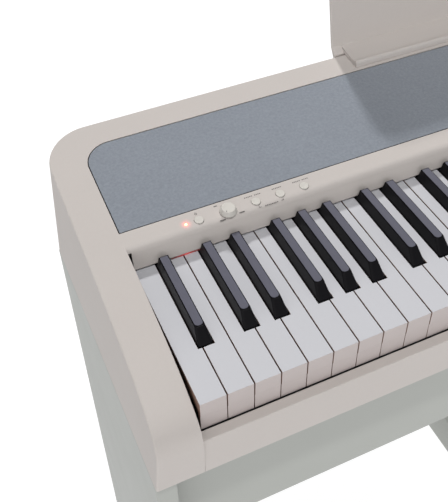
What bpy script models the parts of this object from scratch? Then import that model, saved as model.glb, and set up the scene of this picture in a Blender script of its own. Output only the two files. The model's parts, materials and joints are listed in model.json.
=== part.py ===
"""Slim 88-key digital piano on a panel stand.

Everything is drawn in the keyboard frame and then set down on the floor: X runs right from the left end
of the lowest key, Y runs back from the fronts of the white keys, and Z runs up from their tops.
"""
import math

import bmesh
import bpy
from mathutils import Matrix, Vector

MM = 0.001
GAP = 0.3 * MM                      # clearance between pieces that touch

# Keyboard
WHITE_PITCH = 23.5 * MM
WHITE_COUNT = 52
KEYBOARD_WIDTH = WHITE_COUNT * WHITE_PITCH
KEY_SEAM = 0.9 * MM                 # open seam between neighbouring white keys
KEY_HEAD = 48.5 * MM                # length of the wide front part of a white key
KEY_THICK = 16 * MM
KEY_LIP_DEPTH = 34.5 * MM             # height of a white key's front face
KEY_LIP_THICK = 5 * MM
WHITE_TAIL_END = 222 * MM
BLACK_FRONT = 49.5 * MM
BLACK_WIDTH = 13.1 * MM
BLACK_TOP_WIDTH = 9 * MM
BLACK_HEIGHT = 11.5 * MM
BLACK_CAP_END = 146.5 * MM
BLACK_STEM_DEPTH = 9 * MM
BLACK_TAIL_END = 234 * MM
SLOT_CLEARANCE = 0.8 * MM           # between a black key and the white keys beside it
PIVOT_Y = 224 * MM
PIVOT_Z = -12 * MM
SPINE_DEPTH = 8 * MM                # bar that joins the keys of one block behind the fallboard

# Case
CASE_WIDTH = 1312 * MM
CASE_HEIGHT = 117 * MM
CASE_BOTTOM = -80 * MM
CASE_FRONT = -13 * MM
CASE_REAR = 322 * MM
REAR_CORNER = 47 * MM
SIDE_DRAFT = 8.5 * MM               # how far each side leans in from bottom to top
WALL = 3 * MM
TOP_RISE = 0.1                      # slope of the top, up towards the back
TOP_AT_KEYS = 5 * MM                # height of the top's plane where the key fronts are
TOP_ANGLE = math.atan(TOP_RISE)
WELL_SIDE = 2.5 * MM                # from the end keys to the cheeks
CHEEK_BREAK = 130 * MM              # where the cheek's top starts to fall away
FALL_FOOT = (147.6 * MM, 1.5 * MM)
FALL_TOP = 154 * MM
KEYSLIP_TOP = -33.5 * MM
KEYSLIP_FRONT = -11 * MM
KEYSLIP_EDGE = 1 * MM
BOTTOM_THICK = 3.5 * MM

# Speaker grille
GRILLE_FRONT = 176.5 * MM
GRILLE_REAR = 292.5 * MM
GRILLE_CORNER = 28 * MM
GRILLE_THICK = 1.5 * MM
GRILLE_LEDGE = 6 * MM
GRILLE_SEAM = 1 * MM               # dark gap all round the grille

# Controls, along the strip between the grille and the keys
STRIP_Y = 163.8 * MM
BUTTONS = {"power_button": 69.5 * MM, "play_button": 126.7 * MM,
           "sound_button": 152 * MM, "metronome_button": 177.3 * MM}
BUTTON_RADIUS = 4.4 * MM
BUTTON_PROUD = 0.9 * MM
KNOB_X = 98.2 * MM
KNOB_Y = 162.8 * MM
KNOB_RADIUS = 8.2 * MM
KNOB_HEIGHT = 6 * MM
KNOB_SHAFT = 3.3 * MM
LED_X = 56.7 * MM
LED_RADIUS = 1.6 * MM
PANEL_BOARD_DROP = 11 * MM          # depth of the control board under the strip

# Music rest
REST_LEFT = 302 * MM
REST_FRONT = 296 * MM
REST_LEAN = math.radians(12)
REST_PLATE = 176 * MM
REST_THICK = 4 * MM
REST_CORNER = 22 * MM
REST_FOOT = (331 * MM, 44 * MM)     # lower front edge of the rest's plate
REST_HOOK = (14 * MM, 31 * MM)      # heights of the strip that hangs down behind the case
TRAY_END = 11 * MM                  # from the plate's end to the tray's end
TRAY_LIP = 7.4 * MM

# Stand
PANEL_THICK = 19 * MM
PANEL_FRONT = -8 * MM
PANEL_REAR = 284 * MM
GLIDE_HEIGHT = 3 * MM
APRON_FRONT = 16 * MM
APRON_BOTTOM = -237 * MM
BOARD_THICK = 18 * MM
CASE_FLOOR = 654 * MM               # height of the case's underside above the floor
PEDAL_BOARD_FRONT = 262 * MM
PEDAL_BOARD_HEIGHT = (30 * MM, 165 * MM)
PEDAL_AXLE_Y = 140 * MM
PEDAL_AXLE_HEIGHT = 62 * MM
PEDAL_SPACING = 68 * MM
HOUSING_HALF = 118 * MM
HOUSING_FRONT = 62 * MM
HOUSING_HEIGHT = (22 * MM, 92 * MM)
HOUSING_WALL = 4 * MM

# Fasteners and sockets
SCREW_BORE = 3.4 * MM
BRACKET_THICK = 2.3 * MM
BRACKET_DROP = 40 * MM
BRACKET_REACH = 20 * MM
BRACKET_SPAN = (60 * MM, 240 * MM)
INLET_X = 582 * MM
HEADPHONE_X = 625 * MM
PEDAL_SOCKET_X = 665 * MM
SOCKET_DEPTH = 17 * MM
SCREW_X = (8 * MM, KEYBOARD_WIDTH - 8 * MM)
SCREW_Y = 150 * MM
SOCKET_X = (560 * MM, 690 * MM)
SOCKET_Z = (-62 * MM, -32 * MM)
PEDALS = {"soft_pedal": KEYBOARD_WIDTH / 2 - PEDAL_SPACING, "sostenuto_pedal": KEYBOARD_WIDTH / 2,
          "damper_pedal": KEYBOARD_WIDTH / 2 + PEDAL_SPACING}

# Inside the case
FRAME_SPAN = (14 * MM, 240 * MM)    # key frame, front to back
FRAME_DECK = -47.5 * MM
FRAME_SKIN = 2.5 * MM
FRAME_RIBS = (144 * MM, 98 * MM)
FRAME_WALL = 3 * MM
CONTACT_BOARD = (97 * MM, 148 * MM)
BOARD_SHEET = 1.6 * MM              # thickness of a circuit board
MAIN_BOARD_X = (500 * MM, 680 * MM)
MAIN_BOARD_Y = (40 * MM, 130 * MM)
# Parts on the main board: x, y, half width and height, in millimetres
CHIPS = ((560, 85, 14, 3), (620, 90, 11, 3), (650, 60, 7, 10), (530, 60, 6, 8))
SPEAKER_X = 130 * MM
SPEAKER_Y = 273 * MM
SPEAKER_HALF = (75 * MM, 27 * MM)
SPEAKER_TOP = 25 * MM
SPEAKER_DEPTH = 40 * MM

# Where the keyboard frame stands: centred in X, case front and rest top the same distance from Y = 0
REST_REACH = 371.5 * MM
KEYBOARD_PLACE = Vector((-KEYBOARD_WIDTH / 2, -(CASE_FRONT + REST_REACH) / 2, CASE_FLOOR - CASE_BOTTOM))
MID_X = KEYBOARD_WIDTH / 2
FLOOR = CASE_BOTTOM - CASE_FLOOR


def srgb(red, green, blue):
    """Linear colour from 8-bit screen values."""
    def channel(value):
        value /= 255
        return value / 12.92 if value <= 0.04045 else ((value + 0.055) / 1.055) ** 2.4
    return (channel(red), channel(green), channel(blue), 1.0)


def material(name, color, roughness, metallic=0.0):
    mat = bpy.data.materials.get(name)
    if mat is None:
        mat = bpy.data.materials.new(name)
        mat.use_nodes = True
        shader = mat.node_tree.nodes["Principled BSDF"]
        shader.inputs["Base Color"].default_value = color
        shader.inputs["Roughness"].default_value = roughness
        shader.inputs["Metallic"].default_value = metallic
        mat.diffuse_color = color
    return mat


FINISHES = {
    "case": (srgb(200, 194, 189), 0.45, 0.0),
    "stand": (srgb(182, 184, 178), 0.5, 0.0),
    "grille": (srgb(140, 146, 153), 0.6, 0.0),
    "white_key": (srgb(222, 222, 226), 0.3, 0.0),
    "black_key": (srgb(34, 33, 38), 0.45, 0.0),
    "control": (srgb(212, 207, 200), 0.4, 0.0),
    "led": (srgb(255, 70, 50), 0.3, 0.0),
    "chassis": (srgb(70, 70, 72), 0.6, 0.0),
    "board": (srgb(34, 92, 58), 0.5, 0.0),
    "speaker": (srgb(40, 40, 42), 0.7, 0.0),
    "steel": (srgb(180, 182, 186), 0.35, 1.0),
    "rubber": (srgb(45, 45, 46), 0.8, 0.0),
    "brass": (srgb(196, 170, 110), 0.3, 1.0),
}


def finish(slot):
    return material(slot, *FINISHES[slot])


# ---------------------------------------------------------------- shapes

SPREAD = {"X": lambda a, b, t: (t, a, b), "Y": lambda a, b, t: (a, t, b), "Z": lambda a, b, t: (a, b, t)}


def grow(bm, faces):
    """Extrudes a patch of faces of a closed mesh and returns the patch in its new place."""
    edges = {e for f in faces for e in f.edges}
    verts = {v for f in faces for v in f.verts}
    grown = bmesh.ops.extrude_face_region(bm, geom=list(faces) + list(edges) + list(verts))
    return [f for f in grown["geom"] if isinstance(f, bmesh.types.BMFace)]


def prism(outline, axis, low, high):
    """Closed solid: an outline pushed along one axis. An X outline is (y, z), Y is (x, z), Z is (x, y)."""
    bm = bmesh.new()
    place = SPREAD[axis]
    first = bm.faces.new([bm.verts.new(place(a, b, low)) for a, b in outline])
    grown = bmesh.ops.extrude_face_region(bm, geom=[first])
    moved = [v for v in grown["geom"] if isinstance(v, bmesh.types.BMVert)]
    bmesh.ops.translate(bm, verts=moved, vec=place(0, 0, high - low))
    bmesh.ops.recalc_face_normals(bm, faces=bm.faces)
    return bm


def box(x, y, z):
    return prism([(x[0], y[0]), (x[1], y[0]), (x[1], y[1]), (x[0], y[1])], "Z", *z)


def disc(centre, radius, low, high, segments=24):
    """Upright cylinder; centre is (x, y)."""
    bm = bmesh.new()
    bmesh.ops.create_cone(bm, cap_ends=True, segments=segments, radius1=radius, radius2=radius,
                          depth=high - low)
    bmesh.ops.translate(bm, verts=bm.verts, vec=(centre[0], centre[1], (low + high) / 2))
    return bm


def lathe(profile, centre=(0, 0, 0), segments=24, along="Z"):
    """Closed turned solid. The profile's (radius, height) points start and end on the axis."""
    bm = bmesh.new()
    points = [bm.verts.new((radius, 0, height)) for radius, height in profile]
    line = [bm.edges.new(pair) for pair in zip(points, points[1:])]
    bmesh.ops.spin(bm, geom=points + line, cent=(0, 0, 0), axis=(0, 0, 1), angle=2 * math.pi,
                   steps=segments, use_merge=True)
    bmesh.ops.remove_doubles(bm, verts=bm.verts, dist=0.02 * MM)
    bmesh.ops.recalc_face_normals(bm, faces=bm.faces)
    if along == "Y":
        bm.transform(Matrix.Rotation(-math.pi / 2, 4, "X"))
    if along == "X":
        bm.transform(Matrix.Rotation(math.pi / 2, 4, "Y"))
    bm.transform(Matrix.Translation(centre))
    return bm


def tapered(outline, low, sections):
    """Closed solid grown upwards from an outline; each section is (height, scale about the middle)."""
    bm = bmesh.new()
    face = bm.faces.new([bm.verts.new((x, y, low)) for x, y in outline])
    middle = sum((v.co for v in bm.verts), Vector()) / len(bm.verts)
    size = 1
    for i, (height, scale) in enumerate(sections):
        if i == 0:                  # the first step leaves the bottom face behind
            grown = bmesh.ops.extrude_face_region(bm, geom=[face])
            face = [f for f in grown["geom"] if isinstance(f, bmesh.types.BMFace)][0]
        else:
            face = grow(bm, [face])[0]
        for v in face.verts:
            v.co.x = middle.x + (v.co.x - middle.x) * scale / size
            v.co.y = middle.y + (v.co.y - middle.y) * scale / size
            v.co.z = height
        size = scale
    bmesh.ops.recalc_face_normals(bm, faces=bm.faces)
    return bm


def arc(centre, radius, start, end, steps):
    """Points on a round stretch of an outline, angles in degrees."""
    angles = [math.radians(start + (end - start) * i / steps) for i in range(steps + 1)]
    return [(centre[0] + radius * math.cos(a), centre[1] + radius * math.sin(a)) for a in angles]


def bezier(points, steps):
    """Points on a cubic curve, both ends included."""
    p0, p1, p2, p3 = (Vector(p) for p in points)
    result = []
    for i in range(steps + 1):
        t = i / steps
        u = 1 - t
        result.append(tuple(u ** 3 * p0 + 3 * u * u * t * p1 + 3 * u * t * t * p2 + t ** 3 * p3))
    return result


def rounded(x, y, corners, steps=6):
    """Rectangle outline; corners holds the radius at front left, front right, rear right, rear left."""
    outline = []
    spots = [(x[0], y[0], 1, 1, 180), (x[1], y[0], -1, 1, 270),
             (x[1], y[1], -1, -1, 0), (x[0], y[1], 1, -1, 90)]
    for (cx, cy, sx, sy, start), radius in zip(spots, corners):
        if radius:
            outline += arc((cx + sx * radius, cy + sy * radius), radius, start, start + 90, steps)
        else:
            outline.append((cx, cy))
    return outline


def top_height(y):
    """Height of the case's top plane at a depth y."""
    return TOP_AT_KEYS + TOP_RISE * y


def on_top(bm, y):
    """Tilts a mesh drawn level at height 0 onto the case's top plane, about the depth y."""
    bmesh.ops.rotate(bm, verts=bm.verts, cent=(0, y, 0), matrix=Matrix.Rotation(TOP_ANGLE, 3, "X"))
    bmesh.ops.translate(bm, verts=bm.verts, vec=(0, 0, top_height(y)))
    return bm


def on_strip(bm, y=STRIP_Y):
    return on_top(bm, y)


# ---------------------------------------------------------------- objects

def add(name, bm, slot=None, pivot=None, round_off=None):
    """Makes a named piece in the world. A moving piece gets its origin at pivot, on its joint's axis."""
    mesh = bpy.data.meshes.new(name)
    bm.to_mesh(mesh)
    bm.free()
    obj = bpy.data.objects.new(name, mesh)
    bpy.context.scene.collection.objects.link(obj)
    origin = Vector(pivot) if pivot else Vector((0, 0, 0))
    mesh.transform(Matrix.Translation(-origin))
    obj.location = KEYBOARD_PLACE + origin
    if slot:
        mesh.materials.append(finish(slot))
        mesh.shade_smooth()
        mesh.set_sharp_from_angle(angle=math.radians(30))
    if round_off:
        bevel = obj.modifiers.new("round_off", "BEVEL")
        bevel.width = round_off
        bevel.segments = 2
        bevel.limit_method = "ANGLE"
        bevel.angle_limit = math.radians(40)
    return obj


def tool(name, bm):
    """A shape that only cuts or joins another one."""
    obj = add(name, bm)
    obj.hide_render = True
    obj.display_type = "WIRE"
    return obj


def combine(obj, operation, *shapes):
    for shape in shapes:
        step = obj.modifiers.new(shape.name, "BOOLEAN")
        step.operation = operation
        step.solver = "EXACT"
        step.object = shape
    return obj


def cut(obj, *shapes):
    return combine(obj, "DIFFERENCE", *shapes)


def join(obj, *shapes):
    return combine(obj, "UNION", *shapes)


# ---------------------------------------------------------------- case

def case_shell(inset, low, high):
    """The case's drafted block seen from above, drawn in by inset on every side."""
    left = MID_X - CASE_WIDTH / 2 + inset
    outline = rounded((left, 2 * MID_X - left), (CASE_FRONT - 40 * MM, CASE_REAR - inset),
                      (0, 0, REAR_CORNER - inset, REAR_CORNER - inset), steps=8)
    bm = prism(outline, "Z", low, high)
    for v in bm.verts:
        half = CASE_WIDTH / 2
        lean = SIDE_DRAFT * (v.co.z - CASE_BOTTOM) / CASE_HEIGHT
        v.co.x = MID_X + (v.co.x - MID_X) * (half - lean) / half
    return bm


def cheek_curve(drop, steps):
    """Cheek top from its break down to the front, moved inwards by drop."""
    start = (CHEEK_BREAK, top_height(CHEEK_BREAK) - drop)
    front = CASE_FRONT + drop
    return bezier([start, (60 * MM, 9.5 * MM - drop), (front, -2 * MM - drop), (front, -36 * MM)], steps)


def side_profile(inset, low, steps):
    """Case seen from the side."""
    rear = CASE_REAR - inset
    edge = 4 * MM
    return ([(CASE_FRONT + 2 * MM + inset, low), (rear, low), (rear, top_height(rear) - inset - edge),
             (rear - edge, top_height(rear - edge) - inset)] + cheek_curve(inset, steps))


def top_case():
    outer = add("top_case", case_shell(0, CASE_BOTTOM, 60 * MM), "case")
    profile = tool("case_profile", prism(side_profile(0, CASE_BOTTOM - MM, 12), "X", -60 * MM,
                                         KEYBOARD_WIDTH + 60 * MM))
    combine(outer, "INTERSECT", profile)

    below = CASE_BOTTOM - 10 * MM
    for side, (low, high) in {"left": (-60 * MM, -WELL_SIDE - WALL),
                              "right": (KEYBOARD_WIDTH + WELL_SIDE + WALL, KEYBOARD_WIDTH + 60 * MM)}.items():
        hollow = tool(f"{side}_hollow", case_shell(WALL, below, 60 * MM))
        limit = tool(f"{side}_hollow_limit", prism(side_profile(WALL, below - MM, 6), "X", low, high))
        combine(hollow, "INTERSECT", limit)
        cut(outer, hollow)

    fall_y, fall_z = FALL_FOOT
    roof_rear = CASE_REAR - WALL
    crest = top_height(FALL_TOP)
    well = [(CASE_FRONT - 20 * MM, below), (CASE_FRONT - 20 * MM, 60 * MM), (FALL_TOP + 7 * MM, 60 * MM),
            (FALL_TOP + 6 * MM, top_height(FALL_TOP + 6 * MM)), (FALL_TOP + 2.5 * MM, crest - 1.6 * MM),
            (FALL_TOP, crest - 5.5 * MM), (fall_y, fall_z), (fall_y + WALL, fall_z),
            (FALL_TOP + WALL, crest - 7 * MM), (FALL_TOP + 6 * MM, crest - WALL),
            (roof_rear, top_height(roof_rear) - WALL), (roof_rear, below)]
    cut(outer, tool("key_well", prism(well, "X", -WELL_SIDE, KEYBOARD_WIDTH + WELL_SIDE)))
    for x in (-WELL_SIDE - WALL / 2, KEYBOARD_WIDTH + WELL_SIDE + WALL / 2):
        relief = box((x - WALL, x + WALL), (CASE_FRONT + 5 * MM, CASE_REAR - WALL),
                     (below, CASE_BOTTOM + 4 * MM))
        cut(outer, tool("board_relief", relief))

    seat = prism(grille_outline(0), "Z", -GRILLE_THICK - GAP, 8 * MM)
    opening = prism(grille_outline(GRILLE_LEDGE), "Z", -12 * MM, 8 * MM)
    cut(outer, tool("grille_seat", on_top(seat, GRILLE_FRONT)),
        tool("grille_opening", on_top(opening, GRILLE_FRONT)))
    for name, x in BUTTONS.items():
        cut(outer, strip_hole(f"{name}_hole", x, BUTTON_RADIUS + GAP, 20))
    cut(outer, strip_hole("led_hole", LED_X, LED_RADIUS + GAP, 12))
    cut(outer, strip_hole("knob_hole", KNOB_X, KNOB_SHAFT + GAP, 16, KNOB_Y))
    cut(outer, tool("socket_opening", box((SOCKET_X[0] - GAP, SOCKET_X[1] + GAP),
                                          (CASE_REAR - 8 * MM, CASE_REAR + 8 * MM),
                                          (SOCKET_Z[0] - GAP, SOCKET_Z[1] + GAP))))


def strip_hole(name, x, radius, segments, y=STRIP_Y):
    return tool(name, on_strip(disc((x, y), radius, -8 * MM, 5 * MM, segments), y))


def grille_outline(inset):
    return rounded((-WELL_SIDE + inset, KEYBOARD_WIDTH + WELL_SIDE - inset),
                   (GRILLE_FRONT + inset, GRILLE_REAR - inset),
                   (0, 0, GRILLE_CORNER - inset, GRILLE_CORNER - inset), steps=8)


def speaker_grille():
    plate = prism(grille_outline(GRILLE_SEAM), "Z", -GRILLE_THICK, 0)
    add("speaker_grille", on_top(plate, GRILLE_FRONT), "grille")


def bottom_case():
    inset = WALL + 2 * GAP
    left = MID_X - CASE_WIDTH / 2 + inset
    outline = rounded((left, 2 * MID_X - left), (CASE_FRONT + 5.6 * MM, CASE_REAR - inset),
                      (0, 0, REAR_CORNER - inset, REAR_CORNER - inset), steps=8)
    board = add("bottom_case", prism(outline, "Z", CASE_BOTTOM, CASE_BOTTOM + BOTTOM_THICK), "chassis")
    for x in SCREW_X:
        bore = disc((x, SCREW_Y), SCREW_BORE, CASE_BOTTOM - MM, CASE_BOTTOM + 5 * MM, 16)
        cut(board, tool("screw_hole", bore))


def key_slip():
    back = KEYSLIP_FRONT + WALL
    outline = [(KEYSLIP_FRONT, CASE_BOTTOM), (back, CASE_BOTTOM), (back, KEYSLIP_TOP - 6 * MM),
               (-1.6 * MM, KEYSLIP_TOP - 3 * MM), (-1.6 * MM, KEYSLIP_TOP),
               (KEYSLIP_FRONT + KEYSLIP_EDGE, KEYSLIP_TOP), (KEYSLIP_FRONT, KEYSLIP_TOP - KEYSLIP_EDGE)]
    side = WELL_SIDE - GAP
    add("key_slip", prism(outline, "X", -side, KEYBOARD_WIDTH + side), "case")


def music_rest():
    rise = Vector((math.sin(REST_LEAN), math.cos(REST_LEAN)))
    back = Vector((math.cos(REST_LEAN), -math.sin(REST_LEAN))) * REST_THICK
    foot = Vector(REST_FOOT)
    hook = CASE_REAR + 1.3 * MM
    low, high = REST_HOOK
    head = rise * REST_PLATE
    plate = [(hook, low), (hook + REST_THICK, low), (hook + REST_THICK, high), tuple(foot + back),
             tuple(foot + back + head), tuple(foot + head), tuple(foot),
             (hook, top_height(hook) + GAP)]
    bm = prism(plate, "X", REST_LEFT, KEYBOARD_WIDTH - REST_LEFT)
    crest = foot.y + head.y - 2 * MM
    corners = [e for e in bm.edges
               if all(v.co.z > crest for v in e.verts) and e.calc_length() < 2 * REST_THICK]
    bmesh.ops.bevel(bm, geom=corners, offset=REST_CORNER, affect="EDGES", segments=6, profile=0.5,
                    material=-1)
    rest = add("music_rest", bm, "case")
    tray_end = REST_LEFT + TRAY_END
    lip = top_height(REST_FRONT) + TRAY_LIP
    heel = foot.x - 6 * MM
    tray = [(REST_FRONT, top_height(REST_FRONT) + GAP), (heel, top_height(heel) + GAP),
            (foot.x + 2 * MM, foot.y - 0.5 * MM), (foot.x + 2 * MM, foot.y),
            (REST_FRONT + 7 * MM, lip - 2 * MM),
            (REST_FRONT + 5 * MM, lip), (REST_FRONT + 2 * MM, lip), (REST_FRONT, lip - 2 * MM)]
    join(rest, tool("rest_tray", prism(tray, "X", tray_end, KEYBOARD_WIDTH - tray_end)))


# ---------------------------------------------------------------- controls

def strip_point(x, y=STRIP_Y):
    return (x, y, top_height(y))


def controls():
    cap = [(0, -10 * MM), (3 * MM, -10 * MM), (3 * MM, -6.4 * MM), (5 * MM, -6.4 * MM), (5 * MM, -5.4 * MM),
           (BUTTON_RADIUS, -5.4 * MM), (BUTTON_RADIUS, BUTTON_PROUD - 0.4 * MM),
           (BUTTON_RADIUS - 0.5 * MM, BUTTON_PROUD), (0, BUTTON_PROUD)]
    for name, x in BUTTONS.items():
        add(name, on_strip(lathe(cap, (x, STRIP_Y, 0), 20)), "control", pivot=strip_point(x))
    knob = [(0, -10 * MM), (KNOB_SHAFT, -10 * MM), (KNOB_SHAFT, 0.6 * MM), (KNOB_RADIUS, 0.6 * MM),
            (KNOB_RADIUS, 2 * MM), (KNOB_RADIUS - MM, KNOB_HEIGHT - 0.8 * MM),
            (KNOB_RADIUS - 1.8 * MM, KNOB_HEIGHT), (0, KNOB_HEIGHT - 0.5 * MM)]
    add("volume_knob", on_strip(lathe(knob, (KNOB_X, KNOB_Y, 0), 28), KNOB_Y), "control",
        pivot=strip_point(KNOB_X, KNOB_Y))
    lamp = [(0, -10 * MM), (LED_RADIUS, -10 * MM), (LED_RADIUS, -0.3 * MM), (0.9 * MM, 0.4 * MM),
            (0, 0.6 * MM)]
    add("power_led", on_strip(lathe(lamp, (LED_X, STRIP_Y, 0), 12)), "led")
    deck = box((LED_X - 8 * MM, 190 * MM), (STRIP_Y - 7 * MM, STRIP_Y + 9 * MM),
               (-PANEL_BOARD_DROP - BOARD_SHEET, -PANEL_BOARD_DROP))
    add("panel_board", on_strip(deck), "board")


def sockets():
    front, back = CASE_REAR - 2.7 * MM, CASE_REAR - 0.3 * MM
    plate = add("socket_plate", box(SOCKET_X, (front, back), SOCKET_Z), "chassis")
    middle = (SOCKET_Z[0] + SOCKET_Z[1]) / 2
    deep = SOCKET_DEPTH
    base = 4 * MM                   # solid part behind each bore
    mouth = back + 0.2 * MM
    start = mouth - deep
    for name, x, outer, bore, pin in (("power_inlet", INLET_X, 5.7 * MM, 3.1 * MM, MM),
                                      ("headphone_socket", HEADPHONE_X, 6.5 * MM, 3.3 * MM, 0)):
        profile = [(0, 0), (outer, 0), (outer, deep), (bore, deep), (bore, base)]
        profile += [(pin, base), (pin, deep - 3 * MM), (0, deep - 3 * MM)] if pin else [(0, base)]
        add(name, lathe(profile, (x, start, middle), 20, along="Y"), "steel")
        hole = [(0, -deep), (outer + GAP, -deep), (outer + GAP, deep), (0, deep)]
        cut(plate, tool(f"{name}_hole", lathe(hole, (x, back, middle), 20, along="Y")))
    pedal_socket = socket_block(11 * MM, 7 * MM, middle, start, mouth)
    shell = add("pedal_socket", pedal_socket, "chassis")
    cut(shell, tool("pedal_socket_bore", socket_block(7.5 * MM, 4 * MM, middle, start + base, mouth + base)))
    clear = socket_block(11 * MM + GAP, 7 * MM + GAP, middle, start, mouth + base)
    cut(plate, tool("pedal_socket_hole", clear))


def socket_block(half_x, half_z, middle, start, end):
    """Block about the pedal socket's axis."""
    return box((PEDAL_SOCKET_X - half_x, PEDAL_SOCKET_X + half_x), (start, end),
               (middle - half_z, middle + half_z))


# ---------------------------------------------------------------- inside

def key_frame():
    leg = CASE_BOTTOM + BOTTOM_THICK + GAP
    front, rear = FRAME_SPAN
    deck = FRAME_DECK
    under = deck - FRAME_SKIN
    rail_front = rear - 34 * MM     # rail that carries the hinge line
    rail_top = -18.5 * MM
    board_seat = -30 * MM
    stop_rear = front + 12 * MM     # rail under the key fronts
    stop_top = -28 * MM
    outline = [(front, leg), (front + FRAME_WALL, leg), (front + FRAME_WALL, under),
               (rear - FRAME_WALL, under), (rear - FRAME_WALL, leg), (rear, leg), (rear, rail_top),
               (rail_front, rail_top), (rail_front, deck)]
    for rib in FRAME_RIBS:
        outline += [(rib + FRAME_WALL, deck), (rib + FRAME_WALL, board_seat - GAP),
                    (rib, board_seat - GAP), (rib, deck)]
    outline += [(stop_rear, deck), (stop_rear, stop_top), (front, stop_top)]
    add("key_frame", prism(outline, "X", -1.5 * MM, KEYBOARD_WIDTH + 1.5 * MM), "chassis")
    add("contact_board", box((2 * MM, KEYBOARD_WIDTH - 2 * MM), CONTACT_BOARD,
                             (board_seat, board_seat + BOARD_SHEET)), "board")


def main_board():
    low = CASE_BOTTOM + BOTTOM_THICK + GAP
    deck = low + 5 * MM
    half_sheet = BOARD_SHEET / 2
    corner = 8 * MM                 # from the board's edges to its stand-offs
    x, y = MAIN_BOARD_X, MAIN_BOARD_Y
    board = add("main_board", box(x, y, (deck, deck + BOARD_SHEET)), "board")
    for px in (x[0] + corner, x[1] - corner):
        for py in (y[0] + corner, y[1] - corner):
            join(board, tool("stand_off", disc((px, py), 3 * MM, low, deck + half_sheet, 10)))
    for px, py, half, high in CHIPS:
        chip = box(((px - half) * MM, (px + half) * MM), ((py - half) * MM, (py + half) * MM),
                   (deck + half_sheet, deck + BOARD_SHEET + high * MM))
        join(board, tool("component", chip))


def speakers():
    half_x, half_y = SPEAKER_HALF
    top = SPEAKER_TOP
    y = SPEAKER_Y
    bottom = top - SPEAKER_DEPTH
    for name, x in (("left_speaker", SPEAKER_X), ("right_speaker", KEYBOARD_WIDTH - SPEAKER_X)):
        outline = rounded((x - half_x, x + half_x), (y - half_y, y + half_y), (half_y - MM,) * 4)
        sections = [(top - 28 * MM, 0.42), (top - 26 * MM, 0.5), (top - 3.4 * MM, 0.9), (top - 3.4 * MM, 1),
                    (top, 1), (top, 0.88), (top - 2 * MM, 0.84), (top - 14 * MM, 0.4)]
        bm = tapered(outline, bottom, [(bottom + 0.01 * MM, 0.42)] + sections)
        add(name, bm, "speaker")


# ---------------------------------------------------------------- keys

NOTES = ["c", "c_sharp", "d", "d_sharp", "e", "f", "f_sharp", "g", "g_sharp", "a", "a_sharp", "b"]
BLACK_SHIFT = {"c_sharp": -2.35 * MM, "d_sharp": 2.35 * MM, "f_sharp": -3.36 * MM, "g_sharp": 0,
               "a_sharp": 3.36 * MM}
LOWEST, HIGHEST = 9, 96             # A0 and C8, counted in semitones from C0
SEPARATE_KEYS = range(9, 24)        # A0 to B1 are keys of their own
BLOCKS = {"c2_to_b3": range(24, 48), "c4_to_b5": range(48, 72), "c6_to_c8": range(72, 97)}


def note_name(note):
    return f"{NOTES[note % 12]}{note // 12}"


def is_black(note):
    return "sharp" in NOTES[note % 12]


def white_index(note):
    """How many white keys lie to the left of this one."""
    return sum(not is_black(n) for n in range(LOWEST, note))


def black_centre(note):
    return white_index(note) * WHITE_PITCH + BLACK_SHIFT[NOTES[note % 12]]


def white_key(note):
    """One white key, notched for its black neighbours, with a deep lip in front."""
    left = white_index(note) * WHITE_PITCH + KEY_SEAM / 2
    right = left + WHITE_PITCH - KEY_SEAM
    slot = BLACK_WIDTH / 2 + SLOT_CLEARANCE
    tail_left = black_centre(note - 1) + slot if note > LOWEST and is_black(note - 1) else left
    tail_right = black_centre(note + 1) - slot if note < HIGHEST and is_black(note + 1) else right
    outline = [(left, 0), (right, 0), (right, KEY_HEAD), (tail_right, KEY_HEAD), (tail_right, WHITE_TAIL_END),
               (tail_left, WHITE_TAIL_END), (tail_left, KEY_HEAD), (left, KEY_HEAD)]
    outline = [p for i, p in enumerate(outline) if p != outline[i - 1]]
    bm = prism(outline, "Z", -KEY_THICK, 0)
    bmesh.ops.bisect_plane(bm, geom=bm.verts[:] + bm.edges[:] + bm.faces[:], plane_co=(0, KEY_LIP_THICK, 0),
                           plane_no=(0, 1, 0))
    sole = [f for f in bm.faces if f.normal.z < -0.9 and f.calc_center_median().y < KEY_LIP_THICK]
    for v in {v for f in grow(bm, sole) for v in f.verts}:
        v.co.z = -KEY_LIP_DEPTH
    return bm


def black_key(note):
    """One black key: a tapered cap on a stem that runs back under the fallboard."""
    x = black_centre(note)
    half = BLACK_WIDTH / 2
    bm = box((x - half, x + half), (BLACK_FRONT, BLACK_TAIL_END), (-BLACK_STEM_DEPTH, -MM))
    bmesh.ops.bisect_plane(bm, geom=bm.verts[:] + bm.edges[:] + bm.faces[:], plane_co=(0, BLACK_CAP_END, 0),
                           plane_no=(0, 1, 0))
    roof = [f for f in bm.faces if f.normal.z > 0.9 and f.calc_center_median().y < BLACK_CAP_END]
    for rise, taper, slope in ((MM, 1, 0), (BLACK_HEIGHT, BLACK_TOP_WIDTH / BLACK_WIDTH, 11 * MM)):
        roof = grow(bm, roof)
        for v in roof[0].verts:
            v.co.z += rise
            v.co.x = x + (v.co.x - x) * taper
            v.co.y += slope if v.co.y < (BLACK_FRONT + BLACK_CAP_END) / 2 else -slope / 8
    return bm


def merged(meshes):
    """Several meshes in one, still as separate bodies."""
    result = bmesh.new()
    for bm in meshes:
        step = bpy.data.meshes.new("step")
        bm.to_mesh(step)
        bm.free()
        result.from_mesh(step)
        bpy.data.meshes.remove(step)
    return result


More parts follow.
